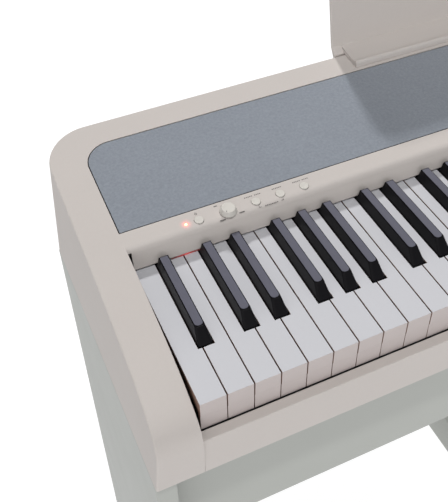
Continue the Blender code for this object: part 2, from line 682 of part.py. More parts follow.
def keys():
    for note in SEPARATE_KEYS:
        build, colour = (black_key, "black") if is_black(note) else (white_key, "white")
        add(f"{colour}_key_{note_name(note)}", build(note), f"{colour}_key", pivot=key_pivot(note))
    for span, notes in BLOCKS.items():
        for colour, build in (("white", white_key), ("black", black_key)):
            block = [n for n in notes if is_black(n) == (colour == "black")]
            block_pivot = ((key_pivot(block[0])[0] + key_pivot(block[-1])[0]) / 2, PIVOT_Y, PIVOT_Z)
            row = add(f"{colour}_keys_{span}", merged(build(n) for n in block), f"{colour}_key",
                      pivot=block_pivot)
            end, low, high = ((WHITE_TAIL_END, -KEY_THICK, -11 * MM) if colour == "white"
                              else (BLACK_TAIL_END, -14 * MM, -4 * MM))
            ends = [key_pivot(n)[0] for n in (block[0], block[-1])]
            inner = 4 * MM          # keeps the bar's ends and faces inside the end keys
            spine = box((ends[0] - inner, ends[1] + inner), (end - SPINE_DEPTH, end - 0.5 * MM),
                        (low + 0.5 * MM, high))
            join(row, tool(f"{colour}_spine_{span}", spine))


def key_pivot(note):
    """A point on a key's hinge line, at the middle of the key."""
    x = black_centre(note) if is_black(note) else (white_index(note) + 0.5) * WHITE_PITCH
    return (x, PIVOT_Y, PIVOT_Z)


# ---------------------------------------------------------------- stand

def mirrored(x):
    return KEYBOARD_WIDTH - x


def stand():
    outer = MID_X - CASE_WIDTH / 2
    inner = outer + PANEL_THICK
    top = CASE_BOTTOM - GAP
    low = FLOOR + GLIDE_HEIGHT + GAP
    for name, ends in (("left_side_panel", (outer, inner)),
                       ("right_side_panel", (mirrored(inner), mirrored(outer)))):
        add(name, box(ends, (PANEL_FRONT, PANEL_REAR), (low, top)), "stand", round_off=2 * MM)
    span = (inner + GAP, mirrored(inner + GAP))
    add("apron_board", box(span, (APRON_FRONT, APRON_FRONT + BOARD_THICK), (APRON_BOTTOM, top)), "stand",
        round_off=1.5 * MM)
    cross = add("pedal_board", box(span, (PEDAL_BOARD_FRONT, PEDAL_BOARD_FRONT + BOARD_THICK),
                                   [FLOOR + height for height in PEDAL_BOARD_HEIGHT]), "stand",
                round_off=1.5 * MM)
    foot_y = PEDAL_BOARD_FRONT + BOARD_THICK / 2
    cut(cross, tool("stud_hole", disc((MID_X, foot_y), 4.5 * MM, FLOOR + 20 * MM, FLOOR + 64 * MM, 16)))
    foot = [(0, 0), (17 * MM, 0), (18 * MM, MM), (18 * MM, 7 * MM), (17 * MM, 8 * MM), (4 * MM, 8 * MM),
            (4 * MM, 48 * MM), (0, 48 * MM)]
    add("adjuster_foot", lathe(foot, (MID_X, foot_y, FLOOR), 28), "rubber", pivot=(MID_X, foot_y, FLOOR))
    glide = [(0, 0), (12 * MM, 0), (13 * MM, MM), (13 * MM, GLIDE_HEIGHT), (0, GLIDE_HEIGHT)]
    middle = (outer + inner) / 2
    reach = 9 / 13                  # the glides are narrower than the panels they stand under
    for side, x in (("left", middle), ("right", mirrored(middle))):
        for end, y in (("front", PANEL_FRONT + 30 * MM), ("rear", PANEL_REAR - 30 * MM)):
            profile = [(r * reach, z) for r, z in glide]
            add(f"{side}_{end}_glide", lathe(profile, (x, y, FLOOR), 20), "rubber")


def brackets():
    wall = MID_X - CASE_WIDTH / 2 + PANEL_THICK + GAP
    top = CASE_BOTTOM - GAP
    thick = BRACKET_THICK
    angle = [(wall, top - BRACKET_DROP), (wall + thick, top - BRACKET_DROP), (wall + thick, top - thick),
             (BRACKET_REACH, top - thick), (BRACKET_REACH, top), (wall, top)]
    head = top - thick - GAP
    screw = [(0, -10 * MM), (8 * MM, -10 * MM), (9 * MM, -9 * MM), (9 * MM, -MM), (8 * MM, 0), (3 * MM, 0),
             (3 * MM, 15 * MM), (2.4 * MM, 16 * MM), (0, 16 * MM)]
    for side, flip, x in (("left", lambda v: v, SCREW_X[0]), ("right", mirrored, SCREW_X[1])):
        outline = [(flip(a), z) for a, z in angle]
        bracket = add(f"{side}_bracket", prism(outline, "Y", *BRACKET_SPAN), "steel")
        cut(bracket, tool("bracket_hole", disc((x, SCREW_Y), SCREW_BORE, top - 10 * MM, top + 10 * MM, 16)))
        add(f"{side}_thumb_screw", lathe(screw, (x, SCREW_Y, head), 20), "steel")


# ---------------------------------------------------------------- pedals

def pedal_housing():
    low, high = [FLOOR + height for height in HOUSING_HEIGHT]
    wall = HOUSING_WALL
    front, back = HOUSING_FRONT, PEDAL_BOARD_FRONT - GAP
    body = box((MID_X - HOUSING_HALF, MID_X + HOUSING_HALF), (front, back), (low, high))
    shell = add("pedal_housing", body, "stand", round_off=2.5 * MM)
    inside = HOUSING_HALF - wall
    cut(shell, tool("housing_hollow", box((MID_X - inside, MID_X + inside), (front + wall, back + wall),
                                          (low + wall, high - wall))))
    for x in PEDALS.values():
        cut(shell, tool("pedal_slot", box((x - 14 * MM, x + 14 * MM), (front - wall, front + 2 * wall),
                                          (FLOOR + 44 * MM, FLOOR + 76 * MM))))
    height = FLOOR + PEDAL_AXLE_HEIGHT
    reach = HOUSING_HALF + 5 * MM
    bore = [(0, -reach), (3.4 * MM, -reach), (3.4 * MM, reach), (0, reach)]
    cut(shell, tool("axle_hole", lathe(bore, (MID_X, PEDAL_AXLE_Y, height), 16, along="X")))
    rod = [(0, 0.5 * MM - HOUSING_HALF), (3 * MM, 0.5 * MM - HOUSING_HALF), (3 * MM, HOUSING_HALF - 0.5 * MM),
           (0, HOUSING_HALF - 0.5 * MM)]
    add("pedal_axle", lathe(rod, (MID_X, PEDAL_AXLE_Y, height), 16, along="X"), "steel")


def pedals():
    height = FLOOR + PEDAL_AXLE_HEIGHT
    half, tip = 10 * MM, 14.5 * MM
    for name, x in PEDALS.items():
        toe = [(x + px, py) for px, py in arc((0, tip), tip, 180, 360, 10)]
        outline = toe + [(x + tip, 30 * MM), (x + half, 56 * MM), (x + half, PEDAL_AXLE_Y),
                         (x - half, PEDAL_AXLE_Y), (x - half, 56 * MM), (x - tip, 30 * MM)]
        pedal = add(name, prism(outline, "Z", height - 6 * MM, height - MM), "brass",
                    pivot=(x, PEDAL_AXLE_Y, height))
        hub = [(0, -11 * MM), (8 * MM, -11 * MM), (8 * MM, 11 * MM), (0, 11 * MM)]
        bore = [(0, -20 * MM), (3.4 * MM, -20 * MM), (3.4 * MM, 20 * MM), (0, 20 * MM)]
        place = (x, PEDAL_AXLE_Y, height)
        join(pedal, tool(f"{name}_hub", lathe(hub, place, 20, along="X")))
        cut(pedal, tool(f"{name}_bore", lathe(bore, place, 16, along="X")))


def main():
    for obj in list(bpy.data.objects):
        bpy.data.objects.remove(obj, do_unlink=True)
    for build in (top_case, bottom_case, key_slip, speaker_grille, music_rest, controls, sockets, key_frame,
                  main_board, speakers, keys, stand, brackets, pedal_housing, pedals):
        build()


main()
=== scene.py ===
"""Finished surfaces of a slim digital piano on a panel stand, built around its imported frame."""
import json
import math

import bmesh
import bpy
from bpy.props import FloatProperty, FloatVectorProperty, IntProperty, PointerProperty
from mathutils import Matrix, Vector

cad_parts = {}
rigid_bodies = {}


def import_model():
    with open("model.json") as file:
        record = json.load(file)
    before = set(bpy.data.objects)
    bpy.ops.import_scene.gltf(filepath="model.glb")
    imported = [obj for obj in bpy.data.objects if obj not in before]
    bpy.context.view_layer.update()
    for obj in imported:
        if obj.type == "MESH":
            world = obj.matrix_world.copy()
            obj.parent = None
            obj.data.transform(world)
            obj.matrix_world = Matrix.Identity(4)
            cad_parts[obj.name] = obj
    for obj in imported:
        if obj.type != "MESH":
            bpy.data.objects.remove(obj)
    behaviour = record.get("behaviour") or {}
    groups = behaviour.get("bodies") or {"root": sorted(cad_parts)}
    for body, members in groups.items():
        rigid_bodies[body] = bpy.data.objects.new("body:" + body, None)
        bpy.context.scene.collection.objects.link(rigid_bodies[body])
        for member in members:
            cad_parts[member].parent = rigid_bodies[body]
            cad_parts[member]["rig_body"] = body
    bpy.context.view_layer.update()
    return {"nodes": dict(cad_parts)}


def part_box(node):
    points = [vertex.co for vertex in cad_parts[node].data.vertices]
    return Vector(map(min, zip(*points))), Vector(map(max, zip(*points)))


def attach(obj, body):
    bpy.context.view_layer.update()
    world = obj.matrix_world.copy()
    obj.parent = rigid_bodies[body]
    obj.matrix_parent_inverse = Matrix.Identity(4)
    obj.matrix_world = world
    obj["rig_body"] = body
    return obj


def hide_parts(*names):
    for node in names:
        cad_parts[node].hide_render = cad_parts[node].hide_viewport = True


bl_info = {
    "name": "Digital piano on stand",
    "version": (1, 0, 0),
    "blender": (4, 5, 0),
    "location": "View3D > Sidebar > Piano",
    "description": "Builds the case, keys, controls, stand and pedals of a slim digital piano around its frame",
    "category": "Add Mesh",
}

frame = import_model()

MM = 0.001
CABINET = "cabinet"

# ---------------------------------------------------------------- places, read from the frame
# Shapes are drawn in the keyboard frame: X from the left end of the lowest key, Y back from the key
# fronts, Z up from the white key tops. PLACE carries them into the frame's own coordinates.

KEY_SEAM = 0.9 * MM
LOWEST_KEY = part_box("white_key_a0")
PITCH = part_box("white_key_b0")[0].x - LOWEST_KEY[0].x
PLACE = Vector((LOWEST_KEY[0].x - KEY_SEAM / 2, LOWEST_KEY[0].y, LOWEST_KEY[1].z))
WHITE_COUNT = 52
KEYBOARD = PITCH * WHITE_COUNT
KEY_LENGTH = LOWEST_KEY[1].y - LOWEST_KEY[0].y
KEY_FACE = LOWEST_KEY[1].z - LOWEST_KEY[0].z


def here(node):
    """A node's box in the keyboard frame."""
    low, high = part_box(node)
    return low - PLACE, high - PLACE


def middle_of(node):
    """The middle of a node's box in the keyboard frame."""
    low, high = here(node)
    return (low + high) / 2


CASE_LOW, CASE_HIGH = here("top_case")
HALF_CASE = (CASE_HIGH.x - CASE_LOW.x) / 2
MID_X = (CASE_HIGH.x + CASE_LOW.x) / 2
CASE_HEIGHT = 117 * MM
SIDE_DRAFT = 8.5 * MM
REAR_CORNER = 47 * MM
TOP_RISE = 0.1
TOP_AT_KEYS = 5 * MM
TOP_ANGLE = math.atan(TOP_RISE)
WELL_SIDE = 2.5 * MM
WALL = 3 * MM
BORE = 3.4 * MM                     # radius of the holes for thumb screws and for the pedals' rod
CHEEK_BREAK = 130 * MM
FALL_FOOT = Vector((147.6 * MM, 1.5 * MM))
FALL_EDGE = Vector((154.6 * MM, 20.46 * MM))
STRIP_Y = 163.8 * MM
KNOB_Y = 162.8 * MM


def top_height(y):
    return TOP_AT_KEYS + TOP_RISE * y


# ---------------------------------------------------------------- settings

def screen(red, green, blue):
    """Linear colour from screen values of 0 to 255."""
    def linear(value):
        value /= 255
        return value / 12.92 if value <= 0.04045 else ((value + 0.055) / 1.055) ** 2.4
    return [linear(value) for value in (red, green, blue)]


def colour(red, green, blue, description, name):
    """A colour property given in screen values from 0 to 255."""
    return FloatVectorProperty(name=name, description=description, subtype="COLOR", size=3, min=0, max=1,
                               default=screen(red, green, blue))


class PianoCaseSettings(bpy.types.PropertyGroup):
    edge: FloatProperty(name="Edge radius", description="Rounding of the case's outer edges",
                        default=2 * MM, min=0.2 * MM, max=4 * MM, unit="LENGTH")
    case_colour: colour(202, 195, 190, "Moulded plastic of the case", "Case")
    grille_colour: colour(142, 148, 157, "Cloth of the speaker grille", "Grille")
    control_colour: colour(212, 208, 201, "Buttons and volume knob", "Controls")
    facets: IntProperty(name="Round steps", description="Sides of a turned piece", default=48, min=12,
                        max=128)


class PianoKeySettings(bpy.types.PropertyGroup):
    white_colour: colour(205, 205, 209, "White key tops", "White keys")
    # Painted shade: the white key fronts and sides get darker copies of the key colour, standing in for the
    # shade on the fronts and down the seams.
    front_colour: colour(196, 186, 183, "White key fronts", "White key fronts")
    side_colour: colour(150, 120, 105, "White key sides, seen only down the seams", "White key sides")
    black_colour: colour(19, 18, 21, "Sides of the black keys", "Black keys")
    # Painted sheen: the black key tops get a grey-blue lighter than the plastic, standing in for the light they
    # reflect.
    pad_colour: colour(98, 98, 110, "Matt tops of the black keys", "Black key tops")
    edge: FloatProperty(name="White key edge", description="Rounding of the white keys' edges",
                        default=0.5 * MM, min=0.1 * MM, max=1.5 * MM, unit="LENGTH")
    black_edge: FloatProperty(name="Black key edge", description="Rounding of the black keys' edges",
                              default=0.6 * MM, min=0.1 * MM, max=2 * MM, unit="LENGTH")


class PianoStandSettings(bpy.types.PropertyGroup):
    board_colour: colour(176, 178, 172, "Painted boards of the stand", "Boards")
    brass_colour: colour(205, 176, 116, "Pedals", "Pedals")
    edge: FloatProperty(name="Board edge", description="Rounding of the boards' edges",
                        default=2 * MM, min=0.5 * MM, max=5 * MM, unit="LENGTH")


class PianoStudioSettings(bpy.types.PropertyGroup):
    bounce: FloatProperty(name="Bounce", description="Light that comes up from the pale floor", default=0.97,
                          min=0, max=5)
    sky: FloatProperty(name="Room light", description="Light from the room above", default=0.15, min=0, max=5)
    window: FloatProperty(name="Front light", description="Broad low light from the front left",
                          default=1.7, min=0, max=5)
    rear_power: FloatProperty(name="Rear light", default=138, min=0, max=2000,
                              description="Power of the soft light behind the piano, in watts")
    rear_size: FloatProperty(name="Rear light size", description="Width of the rear light", default=0.3,
                             min=0.1, max=4, unit="LENGTH")
    top_power: FloatProperty(name="Top light", description="Power of the light high in front, in watts",
                             default=95, min=0, max=2000)
    top_size: FloatProperty(name="Top light size", description="Width of the top light", default=0.25,
                            min=0.05, max=4, unit="LENGTH")


# ---------------------------------------------------------------- mesh tools

SPREAD = {"X": lambda a, b, t: (t, a, b), "Y": lambda a, b, t: (a, t, b), "Z": lambda a, b, t: (a, b, t)}


def face_patch(grown):
    return [item for item in grown["geom"] if isinstance(item, bmesh.types.BMFace)]


def prism(outline, axis, low, high):
    """Closed solid: an outline pushed along one axis. An X outline is (y, z), Y is (x, z), Z is (x, y)."""
    bm = bmesh.new()
    place = SPREAD[axis]
    first = bm.faces.new([bm.verts.new(place(a, b, low)) for a, b in outline])
    for face in face_patch(bmesh.ops.extrude_face_region(bm, geom=[first])):
        bmesh.ops.translate(bm, verts=face.verts, vec=place(0, 0, high - low))
    bmesh.ops.recalc_face_normals(bm, faces=bm.faces)
    return bm


def block(low, high):
    """Box between two corners."""
    bm = bmesh.new()
    size = Vector(high) - Vector(low)
    middle = (Vector(high) + Vector(low)) / 2
    bmesh.ops.create_cube(bm, size=1, matrix=Matrix.Translation(middle) @ Matrix.Diagonal((*size, 1)))
    return bm


def lathe(profile, centre, steps, along="Z"):
    """Closed turned solid; the (radius, height) points start and end on the axis."""
    bm = bmesh.new()
    points = [bm.verts.new((radius, 0, height)) for radius, height in profile]
    line = [bm.edges.new(pair) for pair in zip(points, points[1:])]
    bmesh.ops.spin(bm, geom=points + line, cent=(0, 0, 0), axis=(0, 0, 1), angle=2 * math.pi,
                   steps=steps, use_merge=True)
    bmesh.ops.remove_doubles(bm, verts=bm.verts, dist=0.01 * MM)
    bmesh.ops.recalc_face_normals(bm, faces=bm.faces)
    turn = {"Z": Matrix.Identity(4), "Y": Matrix.Rotation(-math.pi / 2, 4, "X"),
            "X": Matrix.Rotation(math.pi / 2, 4, "Y")}[along]
    bm.transform(Matrix.Translation(centre) @ turn)
    return bm


def rod(radius, low, high):
    """Profile of a plain round bar, for lathe."""
    return [(0, low), (radius, low), (radius, high), (0, high)]


def thread(profile, start, end, root, crest):
    """Adds the teeth of a screw to a lathe profile, one for each millimetre, and returns where they stop."""
    height = start
    while height < end:
        profile += [(root, height), (crest, height + 0.5 * MM)]
        height += MM
    return height


def arc(centre, radius, start, end, steps):
    angles = [math.radians(start + (end - start) * i / steps) for i in range(steps + 1)]
    return [(centre[0] + radius * math.cos(a), centre[1] + radius * math.sin(a)) for a in angles]


def bezier(points, steps):
    p0, p1, p2, p3 = (Vector(p) for p in points)
    curve = []
    for i in range(steps + 1):
        t = i / steps
        u = 1 - t
        curve.append(tuple(u ** 3 * p0 + 3 * u * u * t * p1 + 3 * u * t * t * p2 + t ** 3 * p3))
    return curve


def fillet(start, corner, end, steps):
    """Smooth bend from start to end that leans into a corner."""
    round_share = 0.55
    start, corner, end = Vector(start), Vector(corner), Vector(end)
    return bezier([start, start.lerp(corner, round_share), end.lerp(corner, round_share), end], steps)


def rounded(x, y, corners, steps=12):
    """Rectangle outline; corners holds the radius at front left, front right, rear right, rear left."""
    outline = []
    spots = [(x[0], y[0], 1, 1, 180), (x[1], y[0], -1, 1, 270), (x[1], y[1], -1, -1, 0),
             (x[0], y[1], 1, -1, 90)]
    for (cx, cy, sx, sy, start), radius in zip(spots, corners):
        outline += (arc((cx + sx * radius, cy + sy * radius), radius, start, start + 90, steps) if radius
                    else [(cx, cy)])
    return outline


def bevel(bm, edges, width, segments, clamp_overlap=False):
    bmesh.ops.bevel(bm, geom=edges, offset=width, affect="EDGES", segments=segments, profile=0.5, material=-1,
                    clamp_overlap=clamp_overlap)


def soften(bm, width, segments=3, pick=None, angle=35):
    """Rounds the edges sharper than angle that pick, if given, accepts."""
    limit = math.radians(angle)
    edges = [e for e in bm.edges if len(e.link_faces) == 2 and e.calc_face_angle(0) > limit
             and (pick is None or pick(e))]
    bevel(bm, edges, width, segments, clamp_overlap=True)
    return bm


def tilted(bm, y):
    """Sets a mesh drawn level at height 0 onto the case's sloping top, about the depth y."""
    bmesh.ops.rotate(bm, verts=bm.verts, cent=(0, y, 0), matrix=Matrix.Rotation(TOP_ANGLE, 3, "X"))
    bmesh.ops.translate(bm, verts=bm.verts, vec=(0, 0, top_height(y)))
    return bm


def pour(target, source, material_index=None):
    """Adds one mesh to another as a part of the same piece, all in one material if a number is given."""
    step = bpy.data.meshes.new("step")
    if material_index is not None:
        for face in source.faces:
            face.material_index = material_index
    source.to_mesh(step)
    source.free()
    target.from_mesh(step)
    bpy.data.meshes.remove(step)
    return target


def together(parts):
    """One mesh from several; each part is a mesh, or a mesh with its material's number."""
    bm = bmesh.new()
    for part in parts:
        pour(bm, *(part if isinstance(part, tuple) else (part,)))
    return bm


def link(name, data):
    """A new object in the scene."""
    obj = bpy.data.objects.new(name, data)
    bpy.context.scene.collection.objects.link(obj)
    return obj


def piece(name, bm, body, materials, replaces=(), sharp=32, flat=False):
    """Puts a finished mesh in its place and lets it ride on its body."""
    bm.transform(Matrix.Translation(PLACE))
    mesh = bpy.data.meshes.new(name)
    bm.to_mesh(mesh)
    bm.free()
    for mat in materials if isinstance(materials, (list, tuple)) else [materials]:
        mesh.materials.append(mat)
    if not flat:
        mesh.shade_smooth()
        mesh.set_sharp_from_angle(angle=math.radians(sharp))
    obj = link(name, mesh)
    if not flat:
        level = obj.modifiers.new("level", "WEIGHTED_NORMAL")
        level.keep_sharp = True
    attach(obj, body)
    if replaces:
        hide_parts(*([replaces] if isinstance(replaces, str) else replaces))
    return obj


def carve(bm, cutters, joined=()):
    """Cuts closed shapes out of a mesh, and joins others to it, and returns the result."""
    def scratch(name, source):
        mesh = bpy.data.meshes.new(name)
        source.to_mesh(mesh)
        source.free()
        return link(name, mesh)
    base = scratch("base", bm)
    helpers = []
    for operation, shapes in (("UNION", joined), ("DIFFERENCE", cutters)):
        for shape in shapes:
            helper = scratch("helper", shape)
            helpers.append(helper)
            step = base.modifiers.new("step", "BOOLEAN")
            step.operation, step.solver, step.object = operation, "EXACT", helper
    result = bmesh.new()
    result.from_object(base, bpy.context.evaluated_depsgraph_get())
    for obj in [base, *helpers]:
        mesh = obj.data
        bpy.data.objects.remove(obj, do_unlink=True)
        bpy.data.meshes.remove(mesh)
    bmesh.ops.remove_doubles(result, verts=result.verts, dist=0.005 * MM)
    return result


def body_of(node):
    """The body that a frame node moves with."""
    return frame["nodes"][node]["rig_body"]


# ---------------------------------------------------------------- materials

def feed(tree, target, inputs):
    """Sets a node's inputs, each to a value or to another node's output."""
    for key, value in inputs.items():
        if isinstance(value, bpy.types.NodeSocket):
            tree.links.new(value, target.inputs[key])
        else:
            target.inputs[key].default_value = value


def shader_node(tree, kind, inputs, settings):
    made = tree.nodes.new("ShaderNode" + kind)
    for key, value in settings.items():
        setattr(made, key, value)
    feed(tree, made, inputs)
    return made


class Finish:
    """A material under construction: one shader, and the patterns laid over its colour, gloss and relief."""

    def __init__(self, name, tint, roughness, **sockets):
        self.mat = bpy.data.materials.new(name)
        self.mat.use_nodes = True
        self.tree = self.mat.node_tree
        self.shader = self.tree.nodes["Principled BSDF"]
        self.colour = (*tint, 1)
        self.mat.diffuse_color = self.colour
        self.relief = None
        self.put(self.shader, {"Base Color": self.colour, "Roughness": roughness})
        self.put(self.shader, {key.replace("_", " "): value for key, value in sockets.items()})
        self.place = self.node("TexCoord").outputs["Object"]

    def put(self, target, inputs):
        feed(self.tree, target, inputs)

    def node(self, kind, inputs=None, **settings):
        return shader_node(self.tree, kind, inputs or {}, settings)

    def noise(self, size, detail=2.0, stretch=(1, 1, 1)):
        """Cloudy pattern whose spots are about size across; stretch draws it out along an axis."""
        mapped = self.node("Mapping", {"Vector": self.place, "Scale": [1 / s for s in stretch]})
        return self.node("TexNoise", {"Vector": mapped.outputs["Vector"], "Scale": 1 / size,
                                      "Detail": detail}).outputs["Fac"]

    def ribs(self, direction, spacing):
        """Even waves across one axis, from 0 to 1."""
        wave = self.node("TexWave", {"Vector": self.place, "Scale": math.pi / (10 * spacing)},
                         wave_type="BANDS", bands_direction=direction)
        return wave.outputs["Fac"]

    def facing(self, axis):
        """1 where the surface looks along an axis, either way, and 0 where it looks across."""
        normal = self.node("SeparateXYZ", {"Vector": self.node("NewGeometry").outputs["Normal"]})
        along = self.node("Math", {0: normal.outputs[axis]}, operation="ABSOLUTE").outputs[0]
        return self.ramp(along, 0, 1, 0.5, 0.9)

    def sum(self, operation, first, second):
        return self.node("Math", {0: first, 1: second}, operation=operation).outputs[0]

    def ramp(self, value, low, high, start=0.0, end=1.0):
        """Maps start..end onto low..high."""
        return self.node("MapRange", {"Value": value, "From Min": start, "From Max": end, "To Min": low,
                                      "To Max": high}).outputs["Result"]

    def shade(self, pattern, amount):
        """Lightens and darkens the colour by up to amount."""
        self.colour = self.node("HueSaturation", {"Color": self.colour, "Value": self.ramp(
            pattern, 1 - amount, 1 + amount)}).outputs["Color"]
        self.put(self.shader, {"Base Color": self.colour})

    def stain(self, pattern, tint):
        """Lays another colour over the first where the pattern is 1."""
        mixed = self.node("Mix", {"Factor": pattern}, data_type="RGBA")
        colours = [socket for socket in mixed.inputs if socket.type == "RGBA"]
        names = {socket: index for index, socket in enumerate(mixed.inputs)}
        self.put(mixed, {names[colours[0]]: self.colour, names[colours[1]]: (*tint, 1)})
        self.colour = next(socket for socket in mixed.outputs if socket.type == "RGBA")
        self.put(self.shader, {"Base Color": self.colour})

    def gloss(self, pattern, low, high):
        self.put(self.shader, {"Roughness": self.ramp(pattern, low, high)})

    def bump(self, pattern, height):
        """Raises the surface by up to height where the pattern is 1."""
        inputs = {"Height": pattern, "Distance": height, "Strength": 1.0}
        if self.relief:
            inputs["Normal"] = self.relief
        self.relief = self.node("Bump", inputs).outputs["Normal"]
        self.put(self.shader, {"Normal": self.relief})

    def glow(self, centre, reach, tint, strength):
        """Emission from the surface round a point that fades over reach; on a part that is no lamp this is
        painted light.
        """
        away = self.node("VectorMath", {0: self.place, 1: centre}, operation="DISTANCE").outputs["Value"]
        near = self.ramp(away, 1.0, 0.0, 0.0, reach)
        faded = self.sum("MULTIPLY", self.sum("POWER", near, 2.5), strength)
        self.put(self.shader, {"Emission Color": (*tint, 1), "Emission Strength": faded})


def once(make):
    """Makes a material the first time it is asked for, and hands out the same one after that."""
    def get():
        return bpy.data.materials.get(make.__name__) or make(make.__name__)
    return get


LED_RED = screen(255, 60, 40)
SPILL_X = 50 * MM                   # middle of the painted red glow under the fallboard
LED_LOW, LED_HIGH = here("power_led")
LED_CENTRE = Vector(((LED_LOW.x + LED_HIGH.x) / 2, STRIP_Y, top_height(STRIP_Y)))


def moulded(name, tint, roughness, grain=0.5 * MM, depth=0.012 * MM, cloud=0.02, **sockets):
    """Moulded plastic: spark-eroded grain, and faint clouds in its colour and gloss."""
    made = Finish(name, tint, roughness, **sockets)
    made.shade(made.noise(70 * MM, 3), cloud)
    made.shade(made.noise(2.2 * MM, 2), cloud)
    made.gloss(made.noise(30 * MM, 3), roughness - 0.05, roughness + 0.06)
    made.bump(made.noise(grain, 3), depth)
    return made


@once
def case_plastic(name):
    made = moulded(name, bpy.context.scene.piano_case.case_colour, 0.55, Specular_IOR_Level=0.28)
    # Painted light: a red glow on the case round the power lamp, standing in for the light the lamp throws on
    # it.
    made.glow(PLACE + LED_CENTRE, 8 * MM, LED_RED, 1.1)
    return made.mat


@once
def control_plastic(name):
    return moulded(name, bpy.context.scene.piano_case.control_colour, 0.45, depth=0.004 * MM,
                   Specular_IOR_Level=0.3).mat


@once
def grille_cloth(name):
    """Acoustic cloth: a fine square weave with uneven threads."""
    made = Finish(name, bpy.context.scene.piano_case.grille_colour, 0.72, Sheen_Weight=0.25)
    thread = 1.1 * MM
    weave = made.sum("MULTIPLY", made.ribs("X", thread), made.ribs("Y", thread))
    made.shade(weave, 0.12)
    made.shade(made.noise(2.6 * MM, 3), 0.22)
    made.shade(made.noise(110 * MM, 2), 0.05)
    made.bump(weave, 0.12 * MM)
    made.bump(made.noise(2.4 * MM, 3), 0.1 * MM)
    return made.mat


@once
def white_key_plastic(name):
    made = moulded(name, bpy.context.scene.piano_keys.white_colour, 0.42, grain=0.35 * MM, depth=0.006 * MM,
                   cloud=0.012, Specular_IOR_Level=0.3)
    # Painted shade: darker copies of the key colour on the fronts and, browner, down the seams between keys.
    made.stain(made.facing("Y"), bpy.context.scene.piano_keys.front_colour)
    made.stain(made.facing("X"), bpy.context.scene.piano_keys.side_colour)
    return made.mat


@once
def black_key_plastic(name):
    return moulded(name, bpy.context.scene.piano_keys.black_colour, 0.38, depth=0.004 * MM, cloud=0.05,
                   Specular_IOR_Level=0.12).mat


@once
def black_key_pad(name):
    """Matt, slightly fibrous pad that keeps fingers from slipping; its grey-blue colour is painted sheen,
    standing in for the light the black keys' tops reflect.
    """
    made = Finish(name, bpy.context.scene.piano_keys.pad_colour, 0.55, Sheen_Weight=0.15)
    made.shade(made.noise(0.9 * MM, 3, stretch=(1, 6, 1)), 0.12)
    made.gloss(made.noise(6 * MM, 3), 0.48, 0.64)
    made.bump(made.noise(0.35 * MM, 3, stretch=(1, 4, 1)), 0.03 * MM)
    return made.mat


@once
def board_paint(name):
    """Sprayed paint on fibreboard, with a faint orange peel."""
    made = Finish(name, bpy.context.scene.piano_stand.board_colour, 0.46)
    made.shade(made.noise(120 * MM, 3), 0.02)
    made.shade(made.noise(1.6 * MM, 3), 0.018)
    made.gloss(made.noise(40 * MM, 3), 0.4, 0.52)
    made.bump(made.noise(3 * MM, 2), 0.02 * MM)
    made.bump(made.noise(0.5 * MM, 3), 0.008 * MM)
    return made.mat


@once
def stand_plastic(name):
    return moulded(name, screen(150, 151, 147), 0.45).mat


@once
def dark_plastic(name):
    return moulded(name, screen(52, 52, 54), 0.55, grain=0.8 * MM, depth=0.04 * MM, cloud=0.06).mat


@once
def zinc_steel(name):
    """Plated steel, brushed along its length."""
    made = Finish(name, screen(186, 188, 190), 0.34, Metallic=1.0)
    made.shade(made.noise(0.6 * MM, 3, stretch=(1, 40, 1)), 0.06)
    made.gloss(made.noise(1.2 * MM, 3, stretch=(1, 30, 1)), 0.26, 0.44)
    made.bump(made.noise(0.5 * MM, 2, stretch=(1, 40, 1)), 0.006 * MM)
    return made.mat


@once
def blackened_screw(name):
    made = Finish(name, screen(58, 58, 60), 0.38, Metallic=1.0)
    made.shade(made.noise(1.5 * MM, 3), 0.2)
    made.gloss(made.noise(2 * MM, 3), 0.3, 0.5)
    return made.mat


@once
def pedal_brass(name):
    """Lacquered brass, polished along the pedal."""
    made = Finish(name, bpy.context.scene.piano_stand.brass_colour, 0.24, Metallic=1.0, Coat_Weight=0.3)
    made.shade(made.noise(30 * MM, 3), 0.06)
    made.gloss(made.noise(1.5 * MM, 3, stretch=(1, 25, 1)), 0.17, 0.33)
    made.bump(made.noise(0.8 * MM, 2, stretch=(1, 30, 1)), 0.005 * MM)
    return made.mat


@once
def soft_rubber(name):
    return moulded(name, screen(44, 44, 45), 0.82, grain=0.9 * MM, depth=0.06 * MM, cloud=0.08).mat


@once
def circuit_board(name):
    """Green solder mask over copper runs."""
    made = Finish(name, screen(28, 92, 56), 0.42)
    runs = made.ramp(made.sum("MULTIPLY", made.ribs("X", 3.2 * MM), made.ribs("Y", 7 * MM)), 0, 1, 0.45, 0.6)
    made.stain(runs, screen(70, 130, 84))
    made.bump(runs, 0.05 * MM)
    return made.mat


@once
def speaker_paper(name):
    made = Finish(name, screen(38, 38, 40), 0.8)
    made.shade(made.noise(1.2 * MM, 4), 0.25)
    made.bump(made.noise(0.9 * MM, 4), 0.12 * MM)
    return made.mat


@once
def label_ink(name):
    made = Finish(name, screen(104, 101, 98), 0.6)
    made.shade(made.noise(0.4 * MM, 2), 0.15)
    return made.mat


@once
def lamp_lens(name):
    made = Finish(name, LED_RED, 0.2)
    made.glow(PLACE + LED_CENTRE, 3.4 * MM, screen(255, 120, 90), 26)
    return made.mat


@once
def lamp_leak(name):
    """Painted light: a glowing strip that stands in for the red light seen under the fallboard's edge."""
    made = Finish(name, screen(150, 84, 80), 0.5)
    made.glow(PLACE + Vector((SPILL_X, FALL_FOOT.x, FALL_FOOT.y)), 16 * MM, screen(255, 80, 84), 0.5)
    return made.mat


# ---------------------------------------------------------------- case

CASE_BOTTOM = CASE_LOW.z
CASE_FRONT = CASE_LOW.y
CASE_REAR = CASE_HIGH.y
CASE_LEFT, CASE_RIGHT = CASE_LOW.x, CASE_HIGH.x
ABOVE = 60 * MM


